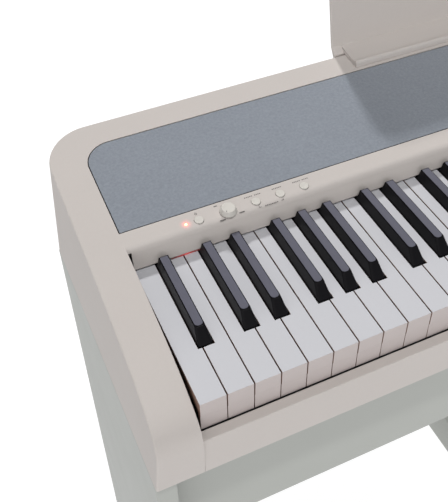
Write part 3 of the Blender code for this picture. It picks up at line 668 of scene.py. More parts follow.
def lean_in(bm):
    """Leans both sides of the case inwards towards the top."""
    for v in bm.verts:
        lean = SIDE_DRAFT * (v.co.z - CASE_BOTTOM) / CASE_HEIGHT
        v.co.x = MID_X + (v.co.x - MID_X) * (HALF_CASE - lean) / HALF_CASE
    return bm


def cheek_curve(drop, steps):
    """Cheek top from where it starts to fall down to the front, moved inwards by drop."""
    start = (CHEEK_BREAK, top_height(CHEEK_BREAK) - drop)
    nose = CASE_FRONT + drop
    return bezier([start, (60 * MM, 9.5 * MM - drop), (nose, -2 * MM - drop), (nose, -36 * MM)], steps)


def side_profile(inset, low, steps):
    """Case seen from the side."""
    rear = CASE_REAR - inset
    return [(CASE_FRONT + 2 * MM + inset, low), (rear, low), (rear, top_height(rear) - inset)] + cheek_curve(
        inset, steps)


def case_block(inset, low, ends, steps, edge=0.0):
    """The case's outer form between two ends, with round rear corners and, if asked, round outer edges."""
    bm = prism(side_profile(inset, low, steps), "X", *ends)
    rear = CASE_REAR - inset
    upright = [e for e in bm.edges if all(abs(v.co.y - rear) < 0.1 * MM for v in e.verts)
               and abs(e.verts[0].co.z - e.verts[1].co.z) > 20 * MM
               and abs(e.verts[0].co.x - MID_X) > HALF_CASE - inset - MM]
    bevel(bm, upright, REAR_CORNER - inset, 24)
    lean_in(bm)
    if edge:
        soften(bm, edge, 4, lambda e: max(v.co.z for v in e.verts) > low + MM, angle=50)
    return bm


GRILLE_LOW, GRILLE_HIGH = here("speaker_grille")
GRILLE_SEAM = 1 * MM
GRILLE_THICK = 1.5 * MM
GRILLE_FRONT = GRILLE_LOW.y - GRILLE_SEAM
GRILLE_DEPTH = (GRILLE_HIGH.y - GRILLE_LOW.y) / math.cos(TOP_ANGLE) + 2 * GRILLE_SEAM
GRILLE_CORNER = 28 * MM


def grille_outline(inset, steps=16):
    """Grille seen square on: sharp corners in front, round ones behind."""
    return rounded((GRILLE_LOW.x - GRILLE_SEAM + inset, GRILLE_HIGH.x + GRILLE_SEAM - inset),
                   (GRILLE_FRONT + inset, GRILLE_FRONT + GRILLE_DEPTH - inset),
                   (0, 0, GRILLE_CORNER - inset, GRILLE_CORNER - inset), steps)


BUTTONS = ("power_button", "play_button", "sound_button", "metronome_button")
BUTTON_HOLE = 4.7 * MM
KNOB_HOLE = 3.6 * MM
LED_HOLE = 1.9 * MM


def strip_x(node):
    return middle_of(node).x


def strip_hole(x, radius, steps, y=STRIP_Y):
    return tilted(lathe(rod(radius, -8 * MM, 5 * MM), (x, y, 0), steps), y)


def top_case(settings):
    """Moulded top: cheeks, fallboard, control strip, grille seat and rear wall in one shell."""
    below = CASE_BOTTOM - 10 * MM
    bm = case_block(0, CASE_BOTTOM, (CASE_LEFT, CASE_RIGHT), 32, settings.edge)
    well_left, well_right = -WELL_SIDE, KEYBOARD + WELL_SIDE
    cutters = [case_block(WALL, below, (CASE_LEFT + WALL, well_left - WALL), 10),
               case_block(WALL, below, (well_right + WALL, CASE_RIGHT - WALL), 10)]
    foot, brow = FALL_FOOT, FALL_EDGE
    roof_rear = CASE_REAR - WALL
    front = CASE_FRONT - 20 * MM
    fall = fillet((brow.x + 6 * MM, top_height(brow.x + 6 * MM)), brow,
                  (brow.x - 1.2 * MM, brow.y - 6 * MM), 8)
    hem = fillet(foot + Vector((0.35, 1.6)) * MM, foot, foot + Vector((1.2, 0)) * MM, 4)
    well = [(front, below), (front, ABOVE), (brow.x + 7 * MM, ABOVE)] + fall + hem + [
        (foot.x + WALL, foot.y), (brow.x + WALL - MM, brow.y - 7 * MM), (brow.x + 6 * MM, brow.y - WALL),
        (roof_rear, top_height(roof_rear) - WALL), (roof_rear, below)]
    cutters.append(prism(well, "X", well_left, well_right))
    for x in (well_left - WALL / 2, well_right + WALL / 2):
        cutters.append(block((x - WALL, CASE_FRONT + 5 * MM, below),
                             (x + WALL, CASE_REAR - WALL, CASE_BOTTOM + 4 * MM)))
    seat_depth = GRILLE_THICK + 0.3 * MM
    ledge = 6 * MM
    cutters.append(tilted(prism(grille_outline(0), "Z", -seat_depth, 8 * MM), GRILLE_FRONT))
    cutters.append(tilted(prism(grille_outline(ledge), "Z", -12 * MM, 8 * MM), GRILLE_FRONT))
    cutters += [strip_hole(strip_x(node), BUTTON_HOLE, settings.facets) for node in BUTTONS]
    cutters += [strip_hole(strip_x("power_led"), LED_HOLE, 24),
                strip_hole(strip_x("volume_knob"), KNOB_HOLE, 24, KNOB_Y)]
    low, high = here("socket_plate")
    room = 0.3 * MM
    cutters.append(block((low.x - room, CASE_REAR - 8 * MM, low.z - room),
                         (high.x + room, CASE_REAR + 8 * MM, high.z + room)))
    bm = carve(bm, cutters)

    def cheek_inner_edge(edge):
        on_wall = all(min(abs(v.co.x - well_left), abs(v.co.x - well_right)) < 0.02 * MM for v in edge.verts)
        outward = any(f.normal.z > 0.3 or f.normal.y < -0.3 for f in edge.link_faces)
        return (on_wall and outward and max(v.co.y for v in edge.verts) < CHEEK_BREAK + MM
                and min(v.co.z for v in edge.verts) > CASE_BOTTOM + MM)
    soften(bm, 0.9 * MM, 3, cheek_inner_edge, angle=50)
    piece("case_top", bm, body_of("top_case"), case_plastic(), "top_case")


def key_slip():
    """Rail in front of the keys."""
    low, high = here("key_slip")
    lip = high.y
    back = low.y + WALL
    outline = [(low.y, low.z), (back, low.z), (back, high.z - 6 * MM), (lip, high.z - 3 * MM),
               (lip, high.z - 0.6 * MM), (lip - 0.6 * MM, high.z)]
    outline += fillet((low.y + MM, high.z), (low.y, high.z), (low.y, high.z - MM), 6)
    piece("key_rail", prism(outline, "X", low.x, high.x), body_of("key_slip"), case_plastic(), "key_slip")


def bottom_plate():
    """Underside of the case: a ribbed pressing held on by rows of screws."""
    low, high = here("bottom_case")
    corner = REAR_CORNER - WALL
    bm = prism(rounded((low.x, high.x), (low.y, high.y), (0, 0, corner, corner), 20), "Z", low.z, high.z)
    soften(bm, 0.6 * MM, 2, lambda e: max(v.co.z for v in e.verts) < low.z + 0.1 * MM)
    screws = [middle_of(f"{side}_thumb_screw") for side in ("left", "right")]
    cutters = [lathe(rod(BORE, -5 * MM, 8 * MM), (spot.x, spot.y, low.z), 24) for spot in screws]
    groove = 0.8 * MM
    for row in range(7):
        x = MID_X + (row - 3) * 160 * MM
        slot = rounded((x - 50 * MM, x + 50 * MM), (206 * MM, 262 * MM), (6 * MM,) * 4, 8)
        cutters.append(prism(slot, "Z", low.z - MM, low.z + groove))
    piece("case_bottom", carve(bm, cutters), body_of("bottom_case"), dark_plastic(), "bottom_case")


class PIANO_OT_case(bpy.types.Operator):
    """Build the moulded case: top shell, rail in front of the keys and bottom plate"""
    bl_idname = "piano.case"
    bl_label = "Case"

    def execute(self, context):
        top_case(context.scene.piano_case)
        key_slip()
        bottom_plate()
        return {"FINISHED"}


# ---------------------------------------------------------------- grille and music rest

def gasket():
    """Thin dark foam that the grille's rim presses on; its dark colour, seen down the open seam, is also
    painted shade for that gap.
    """
    low, high = -GRILLE_THICK - 0.25 * MM, -GRILLE_THICK - 0.05 * MM
    hole = prism(grille_outline(5 * MM), "Z", low - MM, high + MM)
    bm = carve(prism(grille_outline(0.1 * MM), "Z", low, high), [hole])
    piece("grille_seam_shade_foam", tilted(bm, GRILLE_FRONT), CABINET, soft_rubber())


class PIANO_OT_grille(bpy.types.Operator):
    """Build the cloth-covered speaker grille that lies flush in the top"""
    bl_idname = "piano.grille"
    bl_label = "Speaker grille"

    def execute(self, context):
        bm = prism(grille_outline(GRILLE_SEAM), "Z", -GRILLE_THICK, 0)
        soften(bm, 0.4 * MM, 3, lambda e: min(v.co.z for v in e.verts) > -0.1 * MM)
        for face in bm.faces:       # the cloth is glued over a dark frame
            face.material_index = 0 if face.normal.z > 0.3 else 1
        tilted(bm, GRILLE_FRONT)
        piece("grille_panel", bm, body_of("speaker_grille"), [grille_cloth(), dark_plastic()],
              "speaker_grille")
        gasket()
        return {"FINISHED"}


REST_LOW, REST_HIGH = here("music_rest")
REST_LEAN = math.radians(12)
REST_THICK = 4 * MM
REST_CORNER = 22 * MM
REST_FOOT = Vector((331 * MM, 44 * MM))


def music_rest():
    """Leaning plate with a tray along its foot and a leg that hooks behind the case."""
    rise = Vector((math.sin(REST_LEAN), math.cos(REST_LEAN)))
    back = Vector((math.cos(REST_LEAN), -math.sin(REST_LEAN))) * REST_THICK
    foot = REST_FOOT
    reach = (REST_HIGH.z - foot.y) / rise.y
    hook = CASE_REAR + 1.3 * MM
    plate = [(hook, REST_LOW.z), (hook + REST_THICK, REST_LOW.z), (hook + REST_THICK, 31 * MM), foot + back,
             foot + back + rise * reach, foot + rise * reach, foot, (hook, 37.7 * MM)]
    bm = prism(plate, "X", REST_LOW.x, REST_HIGH.x)
    crest = REST_HIGH.z - 4 * MM
    corners = [e for e in bm.edges
               if all(v.co.z > crest for v in e.verts) and e.calc_length() < 2 * REST_THICK]
    bevel(bm, corners, REST_CORNER, 16)
    soften(bm, 1.1 * MM, 3, angle=40)
    tray_end = REST_LOW.x + 11 * MM
    front = REST_LOW.y
    lip = top_height(front) + 7.4 * MM
    under = 0.3 * MM
    lip_round = arc((front + 3.2 * MM, lip - 2.6 * MM), 2.6 * MM, 20, 170, 12)
    tray = [(front, top_height(front) + under), (foot.x - 6 * MM, top_height(foot.x - 6 * MM) + under),
            (foot.x + 2 * MM, foot.y - 0.5 * MM), (foot.x + 2 * MM, foot.y)]
    tray += fillet((front + 12 * MM, lip - 1.2 * MM), (front + 6.5 * MM, lip - 2.2 * MM),
                   (front + 5.8 * MM, lip - 1.6 * MM), 4)
    tray += lip_round + [(front, lip - 3.4 * MM)]
    shelf = prism(tray, "X", tray_end, KEYBOARD - tray_end)

    def tray_rim(edge):
        at_end = all(min(abs(v.co.x - tray_end), abs(v.co.x - KEYBOARD + tray_end)) < 0.01 * MM
                     for v in edge.verts)
        return at_end and max(v.co.z for v in edge.verts) > 37 * MM
    soften(shelf, 1.4 * MM, 3, tray_rim)
    bm = carve(bm, [], [shelf])
    piece("music_stand", bm, body_of("music_rest"), case_plastic(), "music_rest", sharp=28)


class PIANO_OT_music_rest(bpy.types.Operator):
    """Build the music rest that lifts off the back of the case"""
    bl_idname = "piano.music_rest"
    bl_label = "Music rest"

    def execute(self, context):
        music_rest()
        return {"FINISHED"}


# ---------------------------------------------------------------- controls

def buttons(settings):
    """Round push buttons, each a low dome with a rolled rim."""
    cap = 4.4 * MM
    profile = [(0, -10 * MM), (3 * MM, -10 * MM), (3 * MM, -6.4 * MM), (5 * MM, -6.4 * MM),
               (5 * MM, -5.4 * MM), (cap, -5.4 * MM), (cap, 0.3 * MM)]
    profile += arc((cap - 0.5 * MM, 0.4 * MM), 0.5 * MM, 0, 110, 8)
    profile += arc((0, 9.2 * MM), 9 * MM, -66, -90, 8)[1:]
    for node in BUTTONS:
        bm = tilted(lathe(profile, (strip_x(node), STRIP_Y, 0), settings.facets), STRIP_Y)
        piece(node + "_cap", bm, body_of(node), control_plastic(), node)


KNOB_RADIUS = 8.2 * MM
KNOB_HEIGHT = 6 * MM


def volume_knob(settings):
    """Slim tapering knob with a dished top and a small index dot."""
    shaft = 3.3 * MM
    rim = KNOB_RADIUS - 1.6 * MM
    profile = [(0, -10 * MM), (shaft, -10 * MM), (shaft, 0.6 * MM), (KNOB_RADIUS - 0.4 * MM, 0.6 * MM),
               (KNOB_RADIUS, MM), (KNOB_RADIUS, 2 * MM)]
    profile += arc((rim - 0.9 * MM, KNOB_HEIGHT - 0.9 * MM), 0.9 * MM, 10, 110, 8)
    profile += arc((0, KNOB_HEIGHT + 19.2 * MM), 20 * MM, -73, -90, 8)[1:]
    place = Vector((strip_x("volume_knob"), KNOB_Y, 0))
    bm = lathe(profile, place, settings.facets * 2)
    dot = lathe(rod(0.55 * MM, -0.6 * MM, 0.1 * MM),
                place + Vector((-3.6 * MM, -3.6 * MM, KNOB_HEIGHT - 0.1 * MM)), 16)
    bm = tilted(together([bm, (dot, 1)]), KNOB_Y)
    piece("volume_dial", bm, body_of("volume_knob"), [control_plastic(), label_ink()], "volume_knob")


def lamp():
    """Clear domed lamp that shows the power is on, and a painted red glow under the fallboard that stands in
    for the light it throws there.
    """
    radius = 1.6 * MM
    profile = [(0, -10 * MM), (radius, -10 * MM), (radius, -0.2 * MM)]
    profile += arc((0, -0.6 * MM), 1.2 * MM, 20, 90, 8)
    bm = tilted(lathe(profile, (strip_x("power_led"), STRIP_Y, 0), 24), STRIP_Y)
    piece("power_lamp", bm, body_of("power_led"), lamp_lens(), "power_led")
    # Painted light: a glowing strip under the fallboard's edge, not a lamp.
    reach = 15 * MM
    glow = block((SPILL_X - reach, FALL_FOOT.x + 0.3 * MM, 0.3 * MM),
                 (SPILL_X + reach, FALL_FOOT.x + 1.6 * MM, 1.4 * MM))
    piece("painted_spill_glow", glow, CABINET, lamp_leak())


MARK_THICK = 0.05 * MM


def mark(low, high):
    """Printed bar on the control strip, given by two corners in plan."""
    return prism([low, (high[0], low[1]), high, (low[0], high[1])], "Z", 0, MARK_THICK)


def ring_mark(centre, radius, width, start, end, steps=20):
    """Printed arc on the control strip."""
    outline = arc(centre, radius, start, end, steps) + arc(centre, radius - width, end, start, steps)
    return prism(outline, "Z", 0, MARK_THICK)


def markings():
    """Printed signs by the controls: plain bars, brackets and a power sign."""
    line = 0.45 * MM
    power, dial = strip_x("power_button"), strip_x("volume_knob")
    bars = [ring_mark((power, STRIP_Y + 8 * MM), 1.3 * MM, line, 125, 415),
            mark((power - line / 2, STRIP_Y + 8.2 * MM), (power + line / 2, STRIP_Y + 9.8 * MM))]
    for x, y, half, tall in ((dial - 8.6 * MM, STRIP_Y + 9.4 * MM, 1.6 * MM, 1.1 * MM),
                             (dial - 8.5 * MM, STRIP_Y - 8.4 * MM, 2.8 * MM, 1.2 * MM),
                             (dial + 11.4 * MM, STRIP_Y - 6.6 * MM, 2.6 * MM, 1.2 * MM)):
        bars.append(mark((x - half, y - tall / 2), (x + half, y + tall / 2)))
    for node, half in (("play_button", 8.2), ("sound_button", 5), ("metronome_button", 8.5)):
        x = strip_x(node)
        strokes = round(half * 2 / 1.7)
        for i in range(strokes):
            if half > 6 and i == strokes // 2:
                continue
            left = x - half * MM + i * 1.7 * MM
            bars.append(mark((left, STRIP_Y + 7.3 * MM), (left + 1.1 * MM, STRIP_Y + 8.4 * MM)))
    first, last = strip_x("play_button"), strip_x("sound_button")
    under = STRIP_Y - 8 * MM
    for x, turn in ((first, 1), (last, -1)):
        ends = sorted((x, x + turn * 2.4 * MM))
        bars.append(mark((ends[0], under), (ends[1], under + line)))
        post = sorted((x, x + turn * line))
        bars.append(mark((post[0], under), (post[1], under + 2 * MM)))
    for i in range(8):
        left = (first + last) / 2 - 6.6 * MM + i * 1.7 * MM
        bars.append(mark((left, under - 0.5 * MM), (left + 1.1 * MM, under + 0.6 * MM)))
    piece("strip_print", tilted(together(bars), STRIP_Y), CABINET, label_ink(), flat=True)


class PIANO_OT_controls(bpy.types.Operator):
    """Build the push buttons, volume knob, power lamp and printed signs"""
    bl_idname = "piano.controls"
    bl_label = "Controls"

    def execute(self, context):
        buttons(context.scene.piano_case)
        volume_knob(context.scene.piano_case)
        lamp()
        markings()
        return {"FINISHED"}


# ---------------------------------------------------------------- keys

NOTES = ["c", "c_sharp", "d", "d_sharp", "e", "f", "f_sharp", "g", "g_sharp", "a", "a_sharp", "b"]
BLACK_SHIFT = {"c_sharp": -2.35 * MM, "d_sharp": 2.35 * MM, "f_sharp": -3.36 * MM, "g_sharp": 0,
               "a_sharp": 3.36 * MM}
LOWEST, HIGHEST = 9, 96             # the lowest A and the highest C, counted in semitones
SEPARATE_KEYS = range(LOWEST, 24)
BLOCKS = {"c2_to_b3": range(24, 48), "c4_to_b5": range(48, 72), "c6_to_c8": range(72, HIGHEST + 1)}
BLACK_LOW, BLACK_HIGH = here("black_key_a_sharp0")
BLACK_WIDTH = BLACK_HIGH.x - BLACK_LOW.x
BLACK_TOP_WIDTH = 9 * MM
BLACK_CAP_END = 146.5 * MM
BLACK_FRONT_SLOPE = 11 * MM
BLACK_CORNER = 1.6 * MM
SLOT_CLEARANCE = 0.8 * MM
KEY_HEAD = BLACK_LOW.y - MM
KEY_THICK = 16 * MM
LIP_THICK = 5 * MM
SPINE_DEPTH = 8 * MM


def is_black(note):
    return "sharp" in NOTES[note % 12]


def note_name(note):
    return f"{NOTES[note % 12]}{note // 12}"


def white_index(note):
    """How many white keys lie to the left of this one."""
    return sum(not is_black(n) for n in range(LOWEST, note))


def black_centre(note):
    return white_index(note) * PITCH + BLACK_SHIFT[NOTES[note % 12]]


def grow(bm, faces):
    """Extrudes a patch of faces of a closed mesh and returns the patch in its new place."""
    edges = {e for f in faces for e in f.edges}
    verts = {v for f in faces for v in f.verts}
    return face_patch(bmesh.ops.extrude_face_region(bm, geom=list(faces) + list(edges) + list(verts)))


def cut_across(bm, y):
    bmesh.ops.bisect_plane(bm, geom=bm.verts[:] + bm.edges[:] + bm.faces[:], plane_co=(0, y, 0),
                           plane_no=(0, 1, 0))


def white_key(note, edge):
    """One white key, notched for its black neighbours, with a deep lip and softened edges."""
    left = white_index(note) * PITCH + KEY_SEAM / 2
    right = left + PITCH - KEY_SEAM
    slot = BLACK_WIDTH / 2 + SLOT_CLEARANCE
    tail_left = black_centre(note - 1) + slot if note > LOWEST and is_black(note - 1) else left
    tail_right = black_centre(note + 1) - slot if note < HIGHEST and is_black(note + 1) else right
    outline = [(left, 0), (right, 0), (right, KEY_HEAD), (tail_right, KEY_HEAD), (tail_right, KEY_LENGTH),
               (tail_left, KEY_LENGTH), (tail_left, KEY_HEAD), (left, KEY_HEAD)]
    outline = [p for i, p in enumerate(outline) if p != outline[i - 1]]
    bm = prism(outline, "Z", -KEY_THICK, 0)
    cut_across(bm, LIP_THICK)
    sole = [f for f in bm.faces if f.normal.z < -0.9 and f.calc_center_median().y < LIP_THICK]
    for v in {v for f in grow(bm, sole) for v in f.verts}:
        v.co.z = -KEY_FACE

    def shown(e):
        on_top = all(v.co.z > -0.01 * MM for v in e.verts)
        in_front = all(v.co.y < 0.01 * MM for v in e.verts)
        return on_top or in_front
    return soften(bm, edge, 3, shown)


def black_key(note, edge):
    """One black key: a tapered gloss cap with a matt pad whose lighter colour is painted sheen, on a stem that
    runs back under the fallboard.
    """
    x = black_centre(note)
    half = BLACK_WIDTH / 2
    rise = BLACK_HIGH.z
    bm = block((x - half, BLACK_LOW.y, BLACK_LOW.z), (x + half, BLACK_HIGH.y, -MM))
    cut_across(bm, BLACK_CAP_END)
    roof = [f for f in bm.faces if f.normal.z > 0.9 and f.calc_center_median().y < BLACK_CAP_END]
    for height, taper, slope in ((MM, 1, 0), (rise, BLACK_TOP_WIDTH / BLACK_WIDTH, BLACK_FRONT_SLOPE)):
        roof = grow(bm, roof)
        for v in roof[0].verts:
            v.co.z += height
            v.co.x = x + (v.co.x - x) * taper
            v.co.y += slope if v.co.y < (BLACK_LOW.y + BLACK_CAP_END) / 2 else -slope / 8
    brink = BLACK_LOW.y + BLACK_FRONT_SLOPE + 0.1 * MM
    corners = [e for e in bm.edges if abs(e.verts[0].co.z - e.verts[1].co.z) > rise / 2
               and max(v.co.y for v in e.verts) < brink]
    bevel(bm, corners, BLACK_CORNER, 1)
    cap = [e for e in bm.edges if all(v.co.z > -0.01 * MM for v in e.verts) and e.calc_face_angle(0) > 0.4
           and max(v.co.z for v in e.verts) > rise / 2]
    bevel(bm, cap, edge, 4, clamp_overlap=True)
    seam = 0.85 * MM
    sheen_half = BLACK_TOP_WIDTH / 2 - seam
    front = BLACK_LOW.y + BLACK_FRONT_SLOPE + seam * 1.4
    toe = sheen_half * 0.85
    # Painted sheen: a lighter pad laid on the top, standing in for the light the top reflects.
    sheen_pad = prism(rounded((x - sheen_half, x + sheen_half), (front, BLACK_CAP_END - 2.4 * MM),
                          (toe, toe, seam, seam), 8), "Z", rise - 0.4 * MM, rise + 0.12 * MM)
    return together([bm, (sheen_pad, 1)])


def spine(shade, notes):
    """Hidden bar that joins the tails of one block's keys."""
    ends = [black_centre(n) if shade == "black" else (white_index(n) + 0.5) * PITCH
            for n in (notes[0], notes[-1])]
    end, low, high = ((KEY_LENGTH, -KEY_THICK, -11 * MM) if shade == "white"
                      else (BLACK_HIGH.y, -14 * MM, -4 * MM))
    reach, skin = 4 * MM, 0.5 * MM
    return block((ends[0] - reach, end - SPINE_DEPTH, low + skin), (ends[1] + reach, end - skin, high))


class PIANO_OT_keys(bpy.types.Operator):
    """Build the eighty-eight keys: the lowest ones singly, the rest in two-octave blocks"""
    bl_idname = "piano.keys"
    bl_label = "Keys"

    def execute(self, context):
        settings = context.scene.piano_keys
        white, black = white_key_plastic(), [black_key_plastic(), black_key_pad()]
        for note in SEPARATE_KEYS:
            if is_black(note):
                node = "black_key_" + note_name(note)
                piece(node + "_cap", black_key(note, settings.black_edge), body_of(node), black, node)
            else:
                node = "white_key_" + note_name(note)
                piece(node + "_cap", white_key(note, settings.edge), body_of(node), white, node)
        for span, notes in BLOCKS.items():
            for shade, build, mats, edge in (("white", white_key, white, settings.edge),
                                             ("black", black_key, black, settings.black_edge)):
                node = f"{shade}_keys_{span}"
                chosen = [n for n in notes if is_black(n) == (shade == "black")]
                bm = together([build(n, edge) for n in chosen] + [spine(shade, chosen)])
                piece(node + "_caps", bm, body_of(node), mats, node)
        return {"FINISHED"}


# ---------------------------------------------------------------- stand

def board(node, name, edge, cutters=()):
    """One painted board of the stand, as large as its frame node, with rolled edges."""
    bm = soften(block(*here(node)), edge, 4)
    if cutters:
        bm = carve(bm, cutters)
    piece(name, bm, body_of(node), board_paint(), node)


def stand_boards(settings):
    for side in ("left", "right"):
        board(f"{side}_side_panel", f"{side}_stand_panel", settings.edge)
    board("apron_board", "front_apron", settings.edge * 0.75)
    foot = middle_of("adjuster_foot").xy
    low = here("pedal_board")[0].z
    stud = lathe(rod(4.5 * MM, -10 * MM, 34 * MM), (*foot, low), 24)
    board("pedal_board", "pedal_cross_board", settings.edge * 0.75, [stud])


def cam_covers():
    """Round caps over the cam locks that draw the boards together, on the backs of both cross boards."""
    covers = []
    profile = [(0, -0.4 * MM), (7.5 * MM, -0.4 * MM), (7.5 * MM, 0.7 * MM), (6.9 * MM, 1.2 * MM),
               (0, 1.2 * MM)]
    for node in ("apron_board", "pedal_board"):
        low, high = here(node)
        rows = (low.z + 32 * MM, high.z - 32 * MM)
        for x in (low.x + 34 * MM, high.x - 34 * MM):
            for z in rows:
                cap = lathe(profile, (0, 0, 0), 32)
                arms = [block((-4 * MM, -0.7 * MM, 0.7 * MM), (4 * MM, 0.7 * MM, 3 * MM)),
                        block((-0.7 * MM, -4 * MM, 0.7 * MM), (0.7 * MM, 4 * MM, 3 * MM))]
                cap = carve(cap, arms)
                cap.transform(Matrix.Translation((x, high.y, z)) @ Matrix.Rotation(-math.pi / 2, 4, "X"))
                covers.append(cap)
    piece("cam_covers", together(covers), CABINET, stand_plastic())


def glides():
    """Low rubber feet with a rolled edge under the side panels."""
    for side in ("left", "right"):
        for end in ("front", "rear"):
            node = f"{side}_{end}_glide"
            low, high = here(node)
            radius, tall = (high.x - low.x) / 2, high.z - low.z
            edge = 0.8 * MM
            profile = [(0, 0), (radius - edge, 0)] + arc((radius - edge, edge), edge, -90, 0, 6)[1:]
            profile += [(radius, tall - 0.4 * MM), (radius - 0.4 * MM, tall), (0, tall)]
            middle = (low + high) / 2
            pad = lathe(profile, (middle.x, middle.y, low.z), 40)
            piece(node + "_pad", pad, CABINET, soft_rubber(), node)


def adjuster():
    """Screw foot under the pedal board: a ribbed wheel on a threaded stud."""
    low, high = here("adjuster_foot")
    middle = (low + high) / 2
    radius = (high.x - low.x) / 2
    wheel_top = 8 * MM
    grips = 30
    outline = []
    for i in range(2 * grips):
        reach = radius - (0.9 * MM if i % 2 else 0)
        turn = math.pi * i / grips
        outline.append((reach * math.cos(turn), reach * math.sin(turn)))
    wheel = prism(outline, "Z", MM, wheel_top)
    soften(wheel, 0.5 * MM, 2, angle=60)
    pad = lathe([(0, 0), (radius - 2.5 * MM, 0), (radius - 2 * MM, 0.5 * MM), (radius - 2 * MM, 2 * MM),
                 (0, 2 * MM)], (0, 0, 0), 40)
    profile = [(0, wheel_top - MM)]
    z = thread(profile, wheel_top - MM, high.z - low.z - 2 * MM, 3.4 * MM, 4 * MM)
    profile += [(3.2 * MM, z), (2.6 * MM, z + MM), (0, z + MM)]
    stud = lathe(profile, (0, 0, 0), 28)
    bm = together([wheel, pad, (stud, 1)])
    bm.transform(Matrix.Translation((middle.x, middle.y, low.z)))
    piece("levelling_foot", bm, body_of("adjuster_foot"), [soft_rubber(), zinc_steel()], "adjuster_foot")


def brackets():
    """Angle irons that carry the case, and the thumb screws that hold it."""
    for side, turn in (("left", 1), ("right", -1)):
        node, screw = f"{side}_bracket", f"{side}_thumb_screw"
        low, high = here(node)
        thick = 2.3 * MM
        wall, end = (low.x, high.x) if turn > 0 else (high.x, low.x)
        bend = 1.5 * MM
        inner = wall + turn * thick
        outline = [(wall, low.z), (inner, low.z)]
        outline += fillet((inner, high.z - thick - 2 * bend), (inner, high.z - thick),
                          (inner + turn * 2 * bend, high.z - thick), 6)
        outline += [(end, high.z - thick), (end, high.z), (wall, high.z)]
        bm = soften(prism(outline, "Y", low.y, high.y), 0.3 * MM, 2, angle=50)
        spot = middle_of(screw)
        holes = [lathe(rod(BORE, -20 * MM, 20 * MM), (spot.x, spot.y, high.z), 24)]
        for y in (low.y + 24 * MM, high.y - 24 * MM):
            holes.append(lathe(rod(2.4 * MM, -20 * MM, 20 * MM), (wall, y, low.z + 16 * MM), 20, along="X"))
        piece(f"{side}_angle_iron", carve(bm, holes), CABINET, zinc_steel(), node)
        low, high = here(screw)
        radius = (high.x - low.x) / 2
        lobes = 12
        steps = lobes * 6
        outline = []
        for i in range(steps):
            reach = radius - 0.45 * MM * (1 - math.cos(2 * math.pi * i / 6))
            angle = 2 * math.pi * i / steps
            outline.append((reach * math.cos(angle), reach * math.sin(angle)))
        head = soften(prism(outline, "Z", 0, 10 * MM), 0.8 * MM, 3, angle=60)
        profile = [(0, 9.5 * MM)]
        z = thread(profile, 9.5 * MM, high.z - low.z - 1.5 * MM, 2.5 * MM, 3 * MM)
        profile += [(2.2 * MM, z), (0, high.z - low.z)]
        bm = together([head, (lathe(profile, (0, 0, 0), 24), 1)])
        bm.transform(Matrix.Translation((spot.x, spot.y, low.z)))
        piece(screw + "_grip", bm, CABINET, [dark_plastic(), zinc_steel()], screw)


class PIANO_OT_stand(bpy.types.Operator):
    """Build the stand: side panels, cross boards, glides, levelling foot and angle irons"""
    bl_idname = "piano.stand"
    bl_label = "Stand"

    def execute(self, context):
        settings = context.scene.piano_stand
        stand_boards(settings)
        cam_covers()
        glides()
        adjuster()
        brackets()
        return {"FINISHED"}


# ---------------------------------------------------------------- pedals

PEDALS = ("soft_pedal", "sostenuto_pedal", "damper_pedal")


def pedal_housing():
    """Moulded box that carries the pedals, with a round-ended slot for each."""
    low, high = here("pedal_housing")
    wall = 4 * MM
    bm = soften(block(low, high), 4 * MM, 5, lambda e: min(v.co.y for v in e.verts) < high.y - MM)
    cutters = [block((low.x + wall, low.y + wall, low.z + wall),
                     (high.x - wall, high.y + wall, high.z - wall))]
    for node in PEDALS:
        x = strip_x(node)
        slot = rounded((x - 14 * MM, x + 14 * MM), (low.z + 22 * MM, low.z + 54 * MM), (6 * MM,) * 4, 8)
        cutters.append(prism(slot, "Y", low.y - wall, low.y + 2 * wall))
    centre = middle_of("pedal_axle")
    reach = (high.x - low.x) / 2 + 5 * MM
    cutters.append(lathe(rod(BORE, -reach, reach), centre, 24, along="X"))
    piece("pedal_case", carve(bm, cutters), CABINET, board_paint(), "pedal_housing")
    rims = []
    for node in PEDALS:
        x = strip_x(node)
        outer = rounded((x - 16.5 * MM, x + 16.5 * MM), (low.z + 19.5 * MM, low.z + 56.5 * MM),
                        (8 * MM,) * 4, 8)
        inner = rounded((x - 13.4 * MM, x + 13.4 * MM), (low.z + 22.6 * MM, low.z + 53.4 * MM),
                        (5.4 * MM,) * 4, 8)
        ring = soften(prism(outer, "Y", low.y - 1.2 * MM, low.y + 0.6 * MM), 0.5 * MM, 2,
                      lambda e: max(v.co.y for v in e.verts) < low.y - MM)
        rims.append(carve(ring, [prism(inner, "Y", low.y - 5 * MM, low.y + 5 * MM)]))
    piece("pedal_slot_rims", together(rims), CABINET, dark_plastic())
    low, high = here("pedal_axle")
    half, radius = (high.x - low.x) / 2, (high.z - low.z) / 2
    edge = 0.6 * MM
    profile = [(0, -half), (radius - edge, -half), (radius, edge - half), (radius, half - edge),
               (radius - edge, half), (0, half)]
    piece("pedal_rod", lathe(profile, centre, 32, along="X"), CABINET, zinc_steel(), "pedal_axle")


